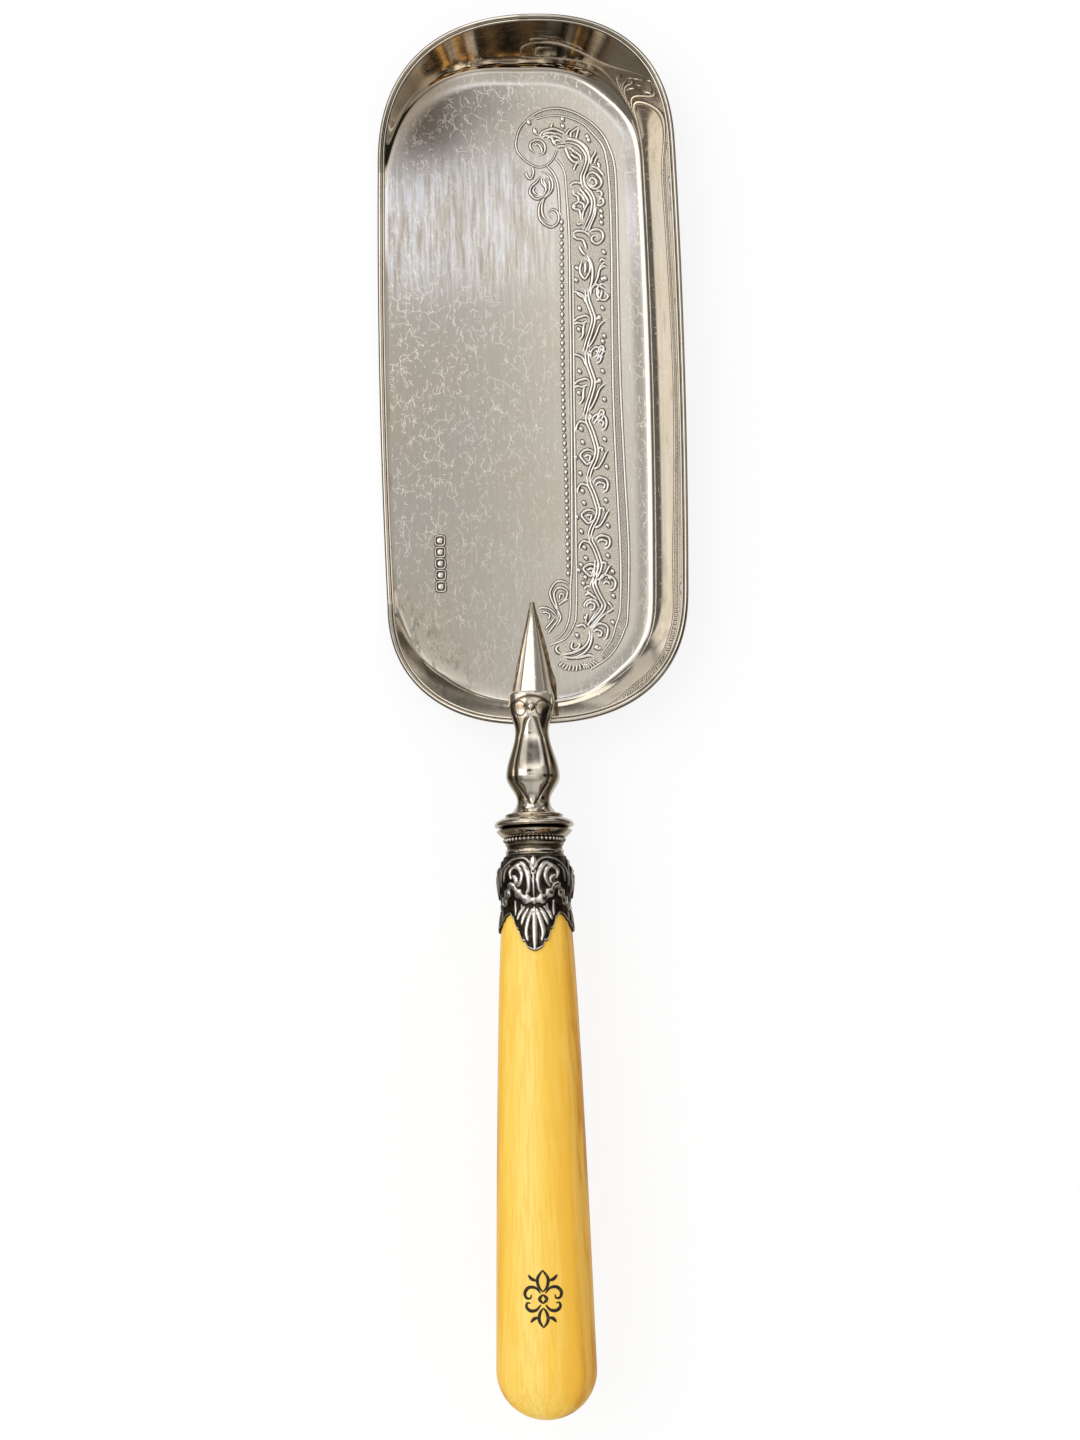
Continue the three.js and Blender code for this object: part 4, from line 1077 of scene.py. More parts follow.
def build_beads_mesh(axis, finish):
    """A ring of round beads on a thin wire."""
    ferrule = axis.scene.crumb_ferrule
    radius, station, size = ferrule.bead_ring / 2, axis.cap + ferrule.bead_at, 0.55 * ferrule.bead
    square = np.array([(-1, -1), (1, -1), (1, 1), (-1, 1)]) * 0.35 * size
    form = axis.turned(square + [radius, station], 0.0)
    lobes = np.linspace(0.12, math.pi - 0.12, 9)[:, None]
    out = radius + size * np.cos(lobes)
    swing = 0.74 * size * np.sin(lobes) * np.cos(turns(14)) / radius
    at = station + size * np.sin(lobes) * np.sin(turns(14))
    for angle in turns(ferrule.bead_count):
        form.stack(axis.around(out, at, angle + swing), clamp(np.cos(lobes) * 1.6 + 0.9))
    return form.make("ring_of_beads", finish, "bright_silver", crease=80)


def handle_halves(at, axis):
    """Half the handle's width and half its height, at each station."""
    handle = axis.scene.crumb_handle
    dome_at = handle.end - handle.dome
    along = clamp((at - axis.waist) / (dome_at - axis.waist))
    swollen = mix(handle.neck / 2, handle.width / 2, along**handle.swell)
    past = clamp((at - dome_at) / handle.dome)
    wide = swollen * np.sqrt(1 - past * past)
    flattened = smooth((at - axis.waist) / ((handle.end - axis.waist) * 0.6))
    return wide, wide * mix(1.0, handle.flatness, flattened)


def handle_radius(at, angle, axis):
    """Distance of the handle's surface from its line, at an angle from the top."""
    wide, high = handle_halves(at, axis)
    return wide * high / (np.hypot(high * np.sin(angle), wide * np.cos(angle)) + 1e-12)


def build_handle_mesh(axis, finish):
    """The handle, round at the ferrule and flattened towards its domed end."""
    handle = axis.scene.crumb_handle
    turn = turns(SIDES)[None, :]
    dome_at = handle.end - handle.dome
    body = mix(axis.waist, dome_at, np.linspace(0, 1, 60) ** 1.25)
    dome = dome_at + handle.dome * np.sin(np.linspace(0, 1, 30)[1:-1] * QUARTER)
    stations = np.concatenate([[axis.handle], body, dome, [handle.end - 0.002 * MM]])[:, None]
    outside = axis.around(handle_radius(stations, turn, axis), stations, turn)
    blind = np.array([axis.handle + handle.bore_depth, axis.handle])[:, None]
    inside = axis.around(handle.bore / 2, blind, turn)
    # The tone runs across the handle from its left side to its right. The finish paints shade at the
    # sides and a sheen left of the middle from it.
    form = Form(np.concatenate([inside, outside]), (1 + np.sin(turn)) / 2)
    return form.make("swelling_handle", finish, "ivory_colour", crease=50)


INK_HALF = 0.38 * MM
INK_DEPTH = 0.12 * MM


def build_motif_mesh(axis, finish):
    """A small fleuron, cut into the handle's top and filled with ink."""
    handle = axis.scene.crumb_handle
    form = Form()

    def lift(flat, rise):
        at = handle.motif_at - flat[..., 1]
        wide, high = handle_halves(at, axis)
        top = high * np.sqrt(clamp(1 - (flat[..., 0] / wide) ** 2))
        return axis.place(flat[..., 0], at, top + rise)

    section = np.array([(-1.0, -1.0), (-1.0, 0.1), (-0.6, 0.2), (0.6, 0.2), (1.0, 0.1), (1.0, -1.0)])
    for points in strokes_of(MOTIF_STROKES):
        for side in (-1, 1):
            path = curve_through(points * [side, 1], 0.25 * MM)
            across = sideways(path)
            taper = 0.3 + 0.7 * np.sin(np.linspace(0, 1, len(path)) * math.pi) ** 0.8
            flat = swept(path, across, section[:, 0] * INK_HALF, taper)
            form.stack(lift(flat, np.broadcast_to(section[:, 1] * INK_DEPTH, flat.shape[:2])))
    return form.make("inked_fleuron", finish, "ivory_colour", crease=60)


def ferrule_base(at, angle, axis):
    """Radius of the shell without its relief."""
    ferrule = axis.scene.crumb_ferrule
    along = at - axis.ferrule
    neck, belly, waist = ferrule.cap_neck / 2 + 0.3 * MM, ferrule.belly / 2, ferrule.waist / 2
    upper = mix(neck, belly, np.sin(clamp(along / ferrule.belly_at) * QUARTER) ** 0.8)
    fall = (along - ferrule.belly_at) / (ferrule.waist_at - ferrule.belly_at)
    middle = mix(belly, waist, smooth(fall))
    at_waist = handle_radius(axis.waist, angle, axis)
    skirt = waist + handle_radius(at, angle, axis) - at_waist
    return np.select([along < ferrule.belly_at, at < axis.waist], [upper, middle], skirt)


def from_face(angle):
    """Angle from the middle of the front or back face, from 0 to a quarter turn."""
    return np.abs(np.arcsin(np.sin(angle)))


def ferrule_edge(angle, axis):
    """Station of the shell's lower edge: long leaves in front and behind, short at the sides."""
    ferrule = axis.scene.crumb_ferrule
    away = from_face(angle)
    facing = away < QUARTER / 2
    off = np.where(facing, away, QUARTER - away) / (QUARTER / 2)
    leaf = (1 + np.cos(off * math.pi)) / 2
    reach = np.where(facing, ferrule.front_leaf, ferrule.side_leaf)
    scallop = np.where(facing, 1.3, 0.5) * MM * (np.abs(np.cos(off * math.pi * 4.5)) ** 0.8 - 0.5)
    return axis.ferrule + ferrule.notch_at + reach * leaf**0.85 + scallop * np.sin(leaf * math.pi)


def relief_of(angle, at, axis):
    """Share of the relief's height, from strokes drawn over one quarter."""
    ferrule = axis.scene.crumb_ferrule
    per_degree = ferrule.belly / 2 * math.radians(1)
    degrees = np.degrees(from_face(angle)) + 0 * at
    here = np.stack([degrees * per_degree, at - axis.ferrule], -1)
    height = np.zeros(here.shape[:2])
    for line in FERRULE_STROKES.strip().splitlines():
        wide, high, rope, *points = line.split()
        wide, high, rope = float(wide) * MM, float(high), float(rope)
        path = np.array([point.split(",") for point in points], float)
        path = curve_through(path * [per_degree, MM], 0.35 * MM)
        best = np.full(height.shape, 9.0)
        place = np.zeros(height.shape)
        travelled = 0.0
        for start, end in zip(path[:-1], path[1:]):
            step = end - start
            size = np.linalg.norm(step)
            amount = clamp(((here - start) @ step) / size**2)
            away = np.linalg.norm(here - start - amount[..., None] * step, axis=-1)
            nearer = away < best
            best = np.where(nearer, away, best)
            place = np.where(nearer, travelled + amount * size, place)
            travelled += size
        middle = np.sin(clamp(place / travelled) * math.pi)
        width = wide * (0.45 + 0.55 * np.sqrt(middle))
        twist = np.cos(place / (rope * MM) * 2 * math.pi) if rope else 1.0
        off = best / (width * (0.8 + 0.2 * twist))
        dome = np.sqrt(clamp(1 - off * off)) * (0.82 + 0.18 * twist)
        height = np.maximum(height, high * dome)
    return height


def build_ferrule_mesh(axis, finish):
    """The struck shell, a thin wall with its relief raised from a dark ground."""
    ferrule = axis.scene.crumb_ferrule
    sides, rows, inner_rows = 360, 170, 14
    turn = turns(sides)[:, None]
    edge = ferrule_edge(turn, axis)
    at = mix(axis.ferrule, edge, np.linspace(0, 1, rows + 1)[None, :])
    relief = relief_of(turn, at, axis)
    border = clamp(1 - (edge - at) / (0.75 * MM))
    rim = np.where(at > axis.ferrule + ferrule.notch_at - 2.2 * MM, np.sin(border * math.pi) * 0.7, 0)
    top = np.exp(-(((at - axis.ferrule - 0.35 * MM) / (0.28 * MM)) ** 2)) * 0.4
    height = np.maximum(np.maximum(relief, rim), top)
    outer = ferrule_base(at, turn, axis) + height * ferrule.relief
    inside_at = mix(axis.ferrule, edge, np.linspace(1, 0, inner_rows + 1)[None, :])
    shell = ferrule_base(inside_at, turn, axis) - ferrule.wall
    covered = np.maximum(shell, handle_radius(inside_at, turn, axis) + 0.05 * MM)
    inner = np.where(inside_at < axis.handle, shell, covered)
    radius = np.concatenate([outer, inner], axis=1)
    station = np.concatenate([at, inside_at], axis=1)
    tones = np.concatenate([clamp(height), np.zeros_like(inner)], axis=1)
    form = Form(axis.around(radius, station, turn), tones, closed=True)
    return form.make("struck_ferrule", finish, "dark_silver", crease=70)


METAL = {"Metallic": 1.0}
WHITE = (1.0, 1.0, 1.0, 1.0)


class Socket:
    """One node output, with arithmetic that adds Math nodes."""

    def __init__(self, board, source):
        self.board = board
        self.source = source

    def maths(self, operation, *values):
        return self.board.add("Math", {"operation": operation}, dict(enumerate(values)))

    def __add__(self, other):
        return self.maths("ADD", self, other)

    def __sub__(self, other):
        return self.maths("SUBTRACT", self, other)

    def __rsub__(self, other):
        return self.maths("SUBTRACT", other, self)

    def __mul__(self, other):
        return self.maths("MULTIPLY", self, other)

    def __truediv__(self, other):
        return self.maths("DIVIDE", self, other)

    def __abs__(self):
        return self.maths("ABSOLUTE", self)

    def highest(self, other):
        return self.maths("MAXIMUM", self, other)

    __radd__ = __add__
    __rmul__ = __mul__


class Board:
    """The nodes of one material or of the world."""

    def __init__(self, owner):
        owner.use_nodes = True
        self.owner = owner
        self.tree = owner.node_tree
        self.tree.nodes.clear()

    def add(self, kind, settings=None, sockets=None, output=0):
        """Adds a node, sets it up, fills its sockets and gives its output or outputs."""
        node = self.tree.nodes.new("ShaderNode" + kind)
        for name, value in (settings or {}).items():
            if name == "stops":
                while len(node.color_ramp.elements) < len(value):
                    node.color_ramp.elements.new(1.0)
                for stop, (place, tint) in zip(node.color_ramp.elements, value):
                    stop.position, stop.color = place, rgba(tint)
            else:
                setattr(node, name, value)
        for key, value in (sockets or {}).items():
            if isinstance(value, Socket):
                self.tree.links.new(value.source, node.inputs[key])
            else:
                node.inputs[key].default_value = value
        if isinstance(output, tuple):
            return tuple(Socket(self, node.outputs[name]) for name in output)
        return Socket(self, node.outputs[output])

    def place(self):
        """Position in the row frame, in metres."""
        return self.add("TexCoord", output="Object")

    def axes(self, vector):
        return self.add("SeparateXYZ", sockets={0: vector}, output=("X", "Y", "Z"))

    def tone(self):
        return self.add("Attribute", {"attribute_name": "tone"}, output="Fac")

    def stretched(self, vector, x, y, z):
        return self.add("VectorMath", {"operation": "MULTIPLY"}, {0: vector, 1: (x, y, z)})

    def moved(self, vector, other):
        return self.add("VectorMath", {"operation": "ADD"}, {0: vector, 1: other})

    def noise(self, vector, scale, detail=3.0, roughness=0.5, output="Fac"):
        inputs = {"Vector": vector, "Scale": scale, "Detail": detail, "Roughness": roughness}
        return self.add("TexNoise", sockets=inputs, output=output)

    def step(self, value, low, high):
        """0 below low, 1 above high and a smooth rise between them."""
        inputs = {"Value": value, "From Min": low, "From Max": high}
        return self.add("MapRange", {"interpolation_type": "SMOOTHSTEP"}, inputs)

    def blend(self, amount, first, second):
        """A colour between two others, each a socket or a plain tint."""
        first, second = (end if isinstance(end, Socket) else rgba(end) for end in (first, second))
        return self.add("Mix", {"data_type": "RGBA"}, {0: amount, 6: first, 7: second}, output=2)

    def between(self, value, low, high, soft):
        """1 between two limits, with soft sides."""
        risen = self.step(value, low - soft, low + soft)
        return risen * (1 - self.step(value, high - soft, high + soft))

    def patched(self, level, first, second, patches):
        """The level with soft oblongs added, each where both values lie between their limits."""
        for gain, first_limits, second_limits in patches:
            oblong = gain * self.between(first, *first_limits) * self.between(second, *second_limits)
            level = level + oblong
        return level

    def bump(self, height, distance, strength):
        return self.add("Bump", sockets={"Height": height, "Distance": distance, "Strength": strength})

    def warped(self, vector, scale, reach):
        """The vector, pushed about by a noise."""
        push = self.noise(vector, scale, output="Color")
        centred = self.add("VectorMath", {"operation": "SUBTRACT"}, {0: push, 1: (0.5, 0.5, 0.5)})
        return self.moved(vector, self.stretched(centred, reach, reach, reach))

    def hairlines(self, vector, scale, width, keep):
        """Fine broken scratches that wander over the surface."""
        where = self.warped(vector, scale * 0.9, 1.4 / scale)
        inputs = {"Vector": where, "Scale": scale}
        edge = self.add("TexVoronoi", {"feature": "DISTANCE_TO_EDGE"}, inputs, output="Distance")
        line = 1 - self.step(edge, 0.0, width)
        return line * self.step(self.noise(vector, scale * 1.3, 1.0), keep, keep + 0.07)

    def surface(self, tint, rough, normal, settled=METAL):
        """The surface shader. settled holds plain numbers, set on the shader itself."""
        sockets = {"Base Color": tint, "Roughness": rough, "Normal": normal, **settled}
        return self.show("OutputMaterial", self.add("BsdfPrincipled", sockets=sockets))

    def show(self, kind, shader):
        """Puts a shader out, and gives back the material or world."""
        self.add(kind, sockets={"Surface": shader}, output=())
        return self.owner


def rgba(tint):
    return (*tuple(tint)[:3], 1.0)


def new_board(name):
    return Board(bpy.data.materials.new(name))


# The middle of the curve of the pan's near left corner.
CORNER_CENTRE = (-10.5 * MM, 27 * MM, 0.0)


def satin_finish(colours):
    """The pan: a satin floor with a band of brush lines and hair scratches, under a bright wall.
    Painted sheen whitens the brush band, and painted shade darkens the far left corner and the near
    left crease.
    """
    board = new_board("satin_silver_finish")
    where, wall = board.place(), board.tone()
    x, y, _ = board.axes(where)
    cloud = board.noise(where, 34, 4, 0.55)
    speck = board.noise(where, 900, 2)
    patch = board.noise(board.stretched(where, 1, 0.5, 1), 430, 4, 0.7)
    brush = board.noise(board.stretched(where, 1, 0.07, 1), 1500, 2)
    long_hair = board.hairlines(where, 270, 0.011, 0.5)
    short_hair = board.hairlines(board.stretched(where, 1.2, 0.6, 1), 480, 0.017, 0.53)
    loose_hair = board.hairlines(board.moved(where, (0.3, 0.7, 0.0)), 380, 0.014, 0.53)
    hair = long_hair.highest(short_hair * 0.8).highest(loose_hair)
    hair = hair * (0.65 + 0.6 * board.step(y, 0.02, 0.09))
    polished = board.step(wall, 0.02, 0.2)
    bare, upper = 1 - polished, board.step(wall, 0.6 * UNDERSIDE, 0.2 * UNDERSIDE)
    # A band across the floor with brush lines. The whitening it drives is a painted sheen where the
    # floor mirrors a bright band of light.
    brushed_sheen = board.between(y, 0.1, 0.13, 0.006) * (1 - board.step(x, -0.004, 0.012)) * bare * upper
    inputs = {0: board.stretched(where, 1, 1, 0), 1: CORNER_CENTRE}
    reach = board.add("VectorMath", {"operation": "DISTANCE"}, inputs, output="Value")
    corner = (1 - board.step(x, -0.021, -0.012)) * (1 - board.step(y, 0.018, 0.036)) * upper
    smudge = board.step(patch, 0.48, 0.6) * corner * board.step(reach, 0.012, 0.021) * bare
    # Painted shade: a dark streak along the crease of the near left corner, broken up by the cloud
    # noise.
    crease = board.between(reach, 0.0234, 0.0256, 0.0008) * corner * board.step(cloud, 0.3, 0.5)
    # Painted shade: a dark patch in the floor's far left corner, standing in for a dark reflection and
    # tinted with the tarnish colour.
    shade = (1 - board.step(x, -0.024, -0.01)) * board.between(y, 0.132, 0.16, 0.01) * bare * upper
    film = board.step(cloud, 0.35, 0.75)
    tint = board.blend(film * 0.7, colours.silver, colours.warm_silver)
    # Whiter brush streaks, faint over the whole pan and strong in the band, where they are a painted
    # sheen.
    tint = board.blend(board.step(brush, 0.48, 0.62) * (0.1 + 0.75 * brushed_sheen), tint, (0.96, 0.96, 0.97))
    tint = board.blend((1 - board.step(brush, 0.34, 0.47)) * brushed_sheen * 0.3, tint, colours.tarnish)
    tint = board.blend(hair * bare * 0.5, tint, (0.97, 0.96, 0.95))
    tint = board.blend(shade * 0.76, tint, colours.tarnish)
    tint = board.blend(smudge * 0.5, tint, (0.16, 0.13, 0.1))
    tint = board.blend(crease * 0.7, tint, (0.1, 0.085, 0.07))
    stain_and_shade = board.step(board.noise(board.stretched(where, 1, 1, 2.4), 120, 3), 0.54, 0.68)
    tint = board.blend(stain_and_shade * polished * 0.25, tint, colours.tarnish)
    # The far end's wall is tinted golden, partly as toning and partly as a painted warm reflection of
    # the room.
    tint = board.blend(board.step(y, 0.12, 0.15) * polished * 0.5, tint, (0.93, 0.74, 0.5))
    rough = 0.09 + 0.035 * film + 0.03 * brushed_sheen + 0.03 * hair + 0.04 * smudge
    rough = rough * bare + (0.02 + 0.03 * film) * polished
    height = 0.2 * hair + brush * (0.06 + 0.2 * brushed_sheen) + 0.08 * speck - 0.15 * smudge
    normal = board.bump(height * bare + 0.1 * cloud * polished, 0.05 * MM, 0.4)
    return board.surface(tint, rough, normal)


def ground_finish(colours):
    """Matted ground: a fine even stipple, slightly darker than the floor."""
    board = new_board("matted_ground_finish")
    where = board.place()
    dots = board.add("TexVoronoi", sockets={"Vector": where, "Scale": 2600.0}, output="Distance")
    cloud = board.noise(where, 60, 3)
    tint = board.blend(0.5 * cloud, colours.silver, colours.warm_silver)
    tint = board.blend(board.step(dots, 0.3, 0.6) * 0.25 + 0.04, tint, (0.3, 0.26, 0.21))
    normal = board.bump(dots, 0.05 * MM, 0.35)
    rough = 0.2 + 0.1 * cloud
    return board.surface(tint, rough, normal)


def engraved_finish(colours):
    """Bright ridges with dark outlines at their foot, partly oxide and partly painted shade."""
    board = new_board("engraved_silver_finish")
    where, tone = board.place(), board.tone()
    worn = board.noise(where, 420, 3)
    bright = board.blend(board.step(worn, 0.5, 0.75) * 0.2, (0.99, 0.98, 0.96), colours.warm_silver)
    mask = board.step(tone + 0.15 * (worn - 0.5), 0.1, 0.6)
    dark = board.blend(worn, colours.tarnish, colours.oxide)
    tint = board.blend(mask, dark, bright)
    rough = 0.42 - 0.26 * mask
    normal = board.bump(board.noise(where, 1800, 2), 0.03 * MM, 0.15)
    return board.surface(tint, rough, normal)


def polished_finish(colours, name, warmth, stain_share, dull=0.07):
    """Hand-polished silver with a thin warm film and small dark marks."""
    board = new_board(name)
    where, tone = board.place(), board.tone()
    cloud = board.noise(where, 220, 4, 0.6)
    marks = board.noise(where, 700, 3, 0.6)
    swirl = board.noise(board.warped(where, 260, 3 * MM), 520, 2)
    film = board.step(cloud, 0.42, 0.62)
    tint = board.blend(film * warmth, colours.silver, colours.warm_silver)
    spots = board.step(marks, 0.6, 0.7) * stain_share
    # Low tones darken to brown and then to oxide: oxide in real hollows, and painted shade where a
    # part's tones darken its sides and bands.
    hollow_and_shade = 1 - board.step(tone, 0.05, 0.6)
    edge = 1 - board.step(tone, 0.3, 0.95)
    tint = board.blend(spots * 0.8, tint, colours.tarnish)
    tint = board.blend(edge * 0.65, tint, (0.53, 0.39, 0.22))
    tint = board.blend(hollow_and_shade * 0.85, tint, colours.oxide)
    rough = dull + 0.09 * film + 0.2 * spots + 0.15 * hollow_and_shade
    normal = board.bump(swirl + 0.4 * marks, 0.04 * MM, 0.3)
    return board.surface(tint, rough, normal)


def struck_finish(colours):
    """Oxidised ground with bright worn ridges."""
    board = new_board("struck_silver_finish")
    where, tone = board.place(), board.tone()
    grime = board.noise(where, 480, 4, 0.6)
    worn = board.step(tone + 0.34 * (grime - 0.5), 0.26, 0.72)
    dark = board.blend(board.step(grime, 0.45, 0.7) * 0.5, colours.oxide, colours.tarnish)
    bright = board.blend(grime * 0.5, (0.95, 0.93, 0.9), colours.warm_silver)
    tint = board.blend(worn, dark, bright)
    rough = 0.44 - 0.27 * worn
    normal = board.bump(board.noise(where, 1500, 3), 0.04 * MM, 0.3)
    return board.surface(tint, rough, normal)


def solder_finish(colours):
    """Old solder: dull gold with dark crusts."""
    board = new_board("old_solder_finish")
    where, tone = board.place(), board.tone()
    crust = board.noise(where, 700, 4, 0.7)
    tint = board.blend(board.step(crust, 0.52, 0.66), colours.tarnish, colours.solder)
    tint = board.blend(board.step(tone + crust * 0.4, 0.7, 0.95) * 0.4, tint, colours.silver)
    normal = board.bump(crust, 0.15 * MM, 0.8)
    rough = 0.25 + 0.4 * crust
    return board.surface(tint, rough, normal)


def ivory_finish(colours):
    """Ivory-coloured handle with a fine grain along its length. Its darker sides are painted shade, and
    a paler band left of its middle is a painted sheen.
    """
    board = new_board("ivory_colour_finish")
    where, across = board.place(), board.tone()
    sway = board.warped(where, 18, 2.5 * MM)
    broad = board.noise(board.stretched(sway, 1, 0.05, 1), 300, 3, 0.55)
    fine = board.noise(board.stretched(sway, 1, 0.02, 1), 1700, 3, 0.6)
    cloud = board.noise(where, 40, 3)
    fleck = board.step(board.noise(board.stretched(where, 1, 0.35, 1), 330, 2), 0.8, 0.84)
    # Bands across the handle from its left side to its right: painted shade at both sides and a painted
    # sheen left of the middle.
    shade_and_sheen_bands = [
        (0.0, colours.ivory_edge),
        (0.02, colours.ivory_deep),
        (0.07, colours.ivory),
        (0.3, colours.ivory_pale),
        (0.42, colours.ivory_pale),
        (0.56, colours.ivory),
        (0.84, colours.ivory_deep),
        (0.965, colours.ivory_edge),
    ]
    tint = board.add("ValToRGB", {"stops": shade_and_sheen_bands}, {0: across + 0.09 * (broad - 0.5)})
    tint = board.blend(board.step(broad, 0.46, 0.6) * 0.4, tint, colours.ivory_pale)
    tint = board.blend(board.step(fine, 0.44, 0.6) * 0.42, tint, colours.ivory_deep)
    tint = board.blend(board.step(cloud, 0.5, 0.75) * 0.2, tint, colours.ivory_deep)
    tint = board.blend(fleck * 0.6, tint, colours.ivory_edge)
    normal = board.bump(fine + 0.5 * broad, 0.03 * MM, 0.2)
    rough = 0.26 + 0.12 * fine
    settled = {"Subsurface Weight": 0.1, "Subsurface Scale": 0.003, "Specular IOR Level": 0.4}
    return board.surface(tint, rough, normal, settled)


def ink_finish(colours):
    """Dark fill, slightly worn."""
    board = new_board("ink_finish")
    where = board.place()
    worn = board.noise(where, 1200, 3)
    tint = board.blend(board.step(worn, 0.55, 0.8) * 0.5, colours.ink, colours.tarnish)
    rough = 0.5 + 0.2 * worn
    normal = board.bump(worn, 0.05 * MM, 0.5)
    return board.surface(tint, rough, normal, {})


def drawn_steel_finish(colours):
    """Drawn steel rod with long fine lines."""
    board = new_board("drawn_steel_finish")
    lines = board.noise(board.stretched(board.place(), 1, 0.02, 1), 2200, 2)
    tint = board.blend(lines, colours.steel, (0.36, 0.35, 0.34))
    normal = board.bump(lines, 0.03 * MM, 0.3)
    return board.surface(tint, 0.35 + 0.2 * lines, normal, {"Metallic": 0.9})


def cement_finish(colours):
    """Dark resin cement with a sandy grain."""
    board = new_board("resin_cement_finish")
    grit = board.noise(board.place(), 1600, 4, 0.7)
    tint = board.blend(grit, colours.cement, (0.12, 0.08, 0.05))
    normal = board.bump(grit, 0.1 * MM, 0.7)
    return board.surface(tint, 0.7 + 0.2 * grit, normal, {})


def floor_finish(tint):
    """Plain pale floor with a faint tooth. To the camera it is nearly white, and white far off."""
    board = new_board("pale_floor_finish")
    where = board.place()
    pale = board.blend(board.noise(where, 40, 2) * 0.02, tint, (0.88, 0.88, 0.88))
    sockets = {"Base Color": pale, "Roughness": 0.9, "Specular IOR Level": 0.2}
    near = board.add("BsdfPrincipled", sockets=sockets)
    white = board.add("Emission", sockets={"Color": WHITE, "Strength": 1.0})
    away = board.add("VectorMath", {"operation": "LENGTH"}, {0: where}, output="Value")
    seen = board.add("LightPath", output="Is Camera Ray")
    amount = (0.84 + 0.16 * board.step(away, 0.3, 0.9)) * seen
    shown = board.add("MixShader", sockets={0: amount, 1: near, 2: white})
    return board.show("OutputMaterial", shown)


# Oblongs of light and shade in the world, each a gain and two lots of limits: low, high and
# softness. The limits are of the direction's x and y, or of its y and x over its height.
AROUND = (
    (0.6, (-0.4, 0.3, 0.16), (0.42, 0.58, 0.06)),
    (-0.26, (-0.1, 0.6, 0.18), (0.66, 0.76, 0.07)),
    (1.5, (-0.5, 0.03, 0.03), (0.77, 0.95, 0.02)),
    (0.5, (-0.72, -0.2, 0.04), (0.5, 0.74, 0.03)),
    (0.5, (-0.97, -0.93, 0.01), (-0.16, 0.12, 0.02)),
    (0.45, (0.3, 0.72, 0.03), (0.5, 0.74, 0.02)),
)
OVERHEAD = (
    (-0.5, (0.31, 0.45, 0.006), (-0.2, -0.055, 0.014)),
    (0.05, (0.27, 0.42, 0.02), (-0.045, 0.05, 0.012)),
    (0.14, (0.22, 0.3, 0.02), (-0.034, 0.02, 0.012)),
)


def light_world():
    """A studio for the silver to mirror, plain white to the camera.

    Light comes from the left and from a far window, the right side is dim, and
    the near side is a dark room with warm patches.
    """
    board = Board(bpy.data.worlds.new("soft_studio"))
    direction = board.add("TexCoord", output="Generated")
    x, y, z = board.axes(direction)
    height = z.highest(0.06)
    side, ahead = x / height, y / height
    left, near = 1 - board.step(x, -0.22, -0.14), 1 - board.step(y, -0.12, -0.01)
    aside = board.step(abs(x + 0.04).highest(abs(y - 0.16)), 0.2, 0.72)
    band = board.between(ahead, 0.266, 0.302, 0.007) * board.between(side, -0.15, -0.036, 0.014)
    panes = board.noise(board.stretched(direction, 3, 8, 8), 2.2, 2)
    level = (0.46 + 0.37 * board.step(side, -0.085, 0.008)) * (1 - 0.66 * aside)
    window = left * (1 - near) * (1 - board.step(y, 0.36, 0.52))
    level = level + 1.5 * window * (1 - board.step(0 - x, 0.62, 0.74))
    level = level + window * board.between(x, -0.865, -0.7, 0.016) * (0.4 + 1.2 * panes)
    level = level + 0.35 * near * board.between(x, -0.4, 0.2, 0.1) * board.step(y, -0.7, -0.5)
    level = board.patched(level, x, y, AROUND)
    dim = board.step(x, 0.0, 0.08) * (1 - board.step(y, 0.04, 0.14)) * board.step(y, -0.5, -0.3)
    level = board.patched(level - 0.3 * dim + 0.62 * band, ahead, side, OVERHEAD)
    raised = board.step(z, 0.38, 0.48)
    level = level + 0.34 * raised * (1 - board.step(y, -0.8, -0.6))
    level = level.highest(0.015)
    low, under = (1 - raised) * (1 - board.step(y, -0.82, -0.6)), 1 - board.step(z, -0.06, 0.12)
    rooms = board.noise(board.stretched(direction, 1.5, 1, 3), 5.2, 2, 0.5)
    warm = board.noise(board.stretched(direction, 1.5, 1, 3), 6.4, 2, 0.5)
    warm = warm - 0.13 * board.between(x, -0.36, 0.04, 0.02) - 0.05 * board.between(x, -0.8, -0.4, 0.05)
    room = board.blend(board.step(warm, 0.48, 0.52), (0.006, 0.005, 0.004), (0.14, 0.085, 0.04))
    room = board.blend(board.step(warm, 0.57, 0.6), room, (0.8, 0.46, 0.15))
    room = board.blend(board.step(rooms, 0.6, 0.62), room, (0.6, 0.56, 0.5))
    cloth = board.step(board.noise(direction, 1.6, 1), 0.3, 0.7)
    table = board.blend(cloth, (0.02, 0.016, 0.012), (0.26, 0.22, 0.17))
    green, blue = level * (0.97 + 0.06 * band), level * (0.92 + 0.22 * band)
    grey = board.add("CombineColor", sockets={0: level, 1: green, 2: blue})
    sky = board.blend(under, board.blend(low, grey, room), table)
    sky = board.blend(board.step(-1 * z, 0.55, 0.8), sky, (0.6, 0.58, 0.55))
    studio = board.add("Background", sockets={"Color": sky, "Strength": 1.0})
    white = board.add("Background", sockets={"Color": WHITE, "Strength": 1.0})
    even = board.add("Background", sockets={"Color": WHITE, "Strength": 0.85})
    seen, spread = board.add("LightPath", output=("Is Camera Ray", "Is Diffuse Ray"))
    shown = board.add("MixShader", sockets={0: spread, 1: studio, 2: even})
    shown = board.add("MixShader", sockets={0: seen, 1: shown, 2: white})
    bpy.context.scene.world = board.show("OutputWorld", shown)


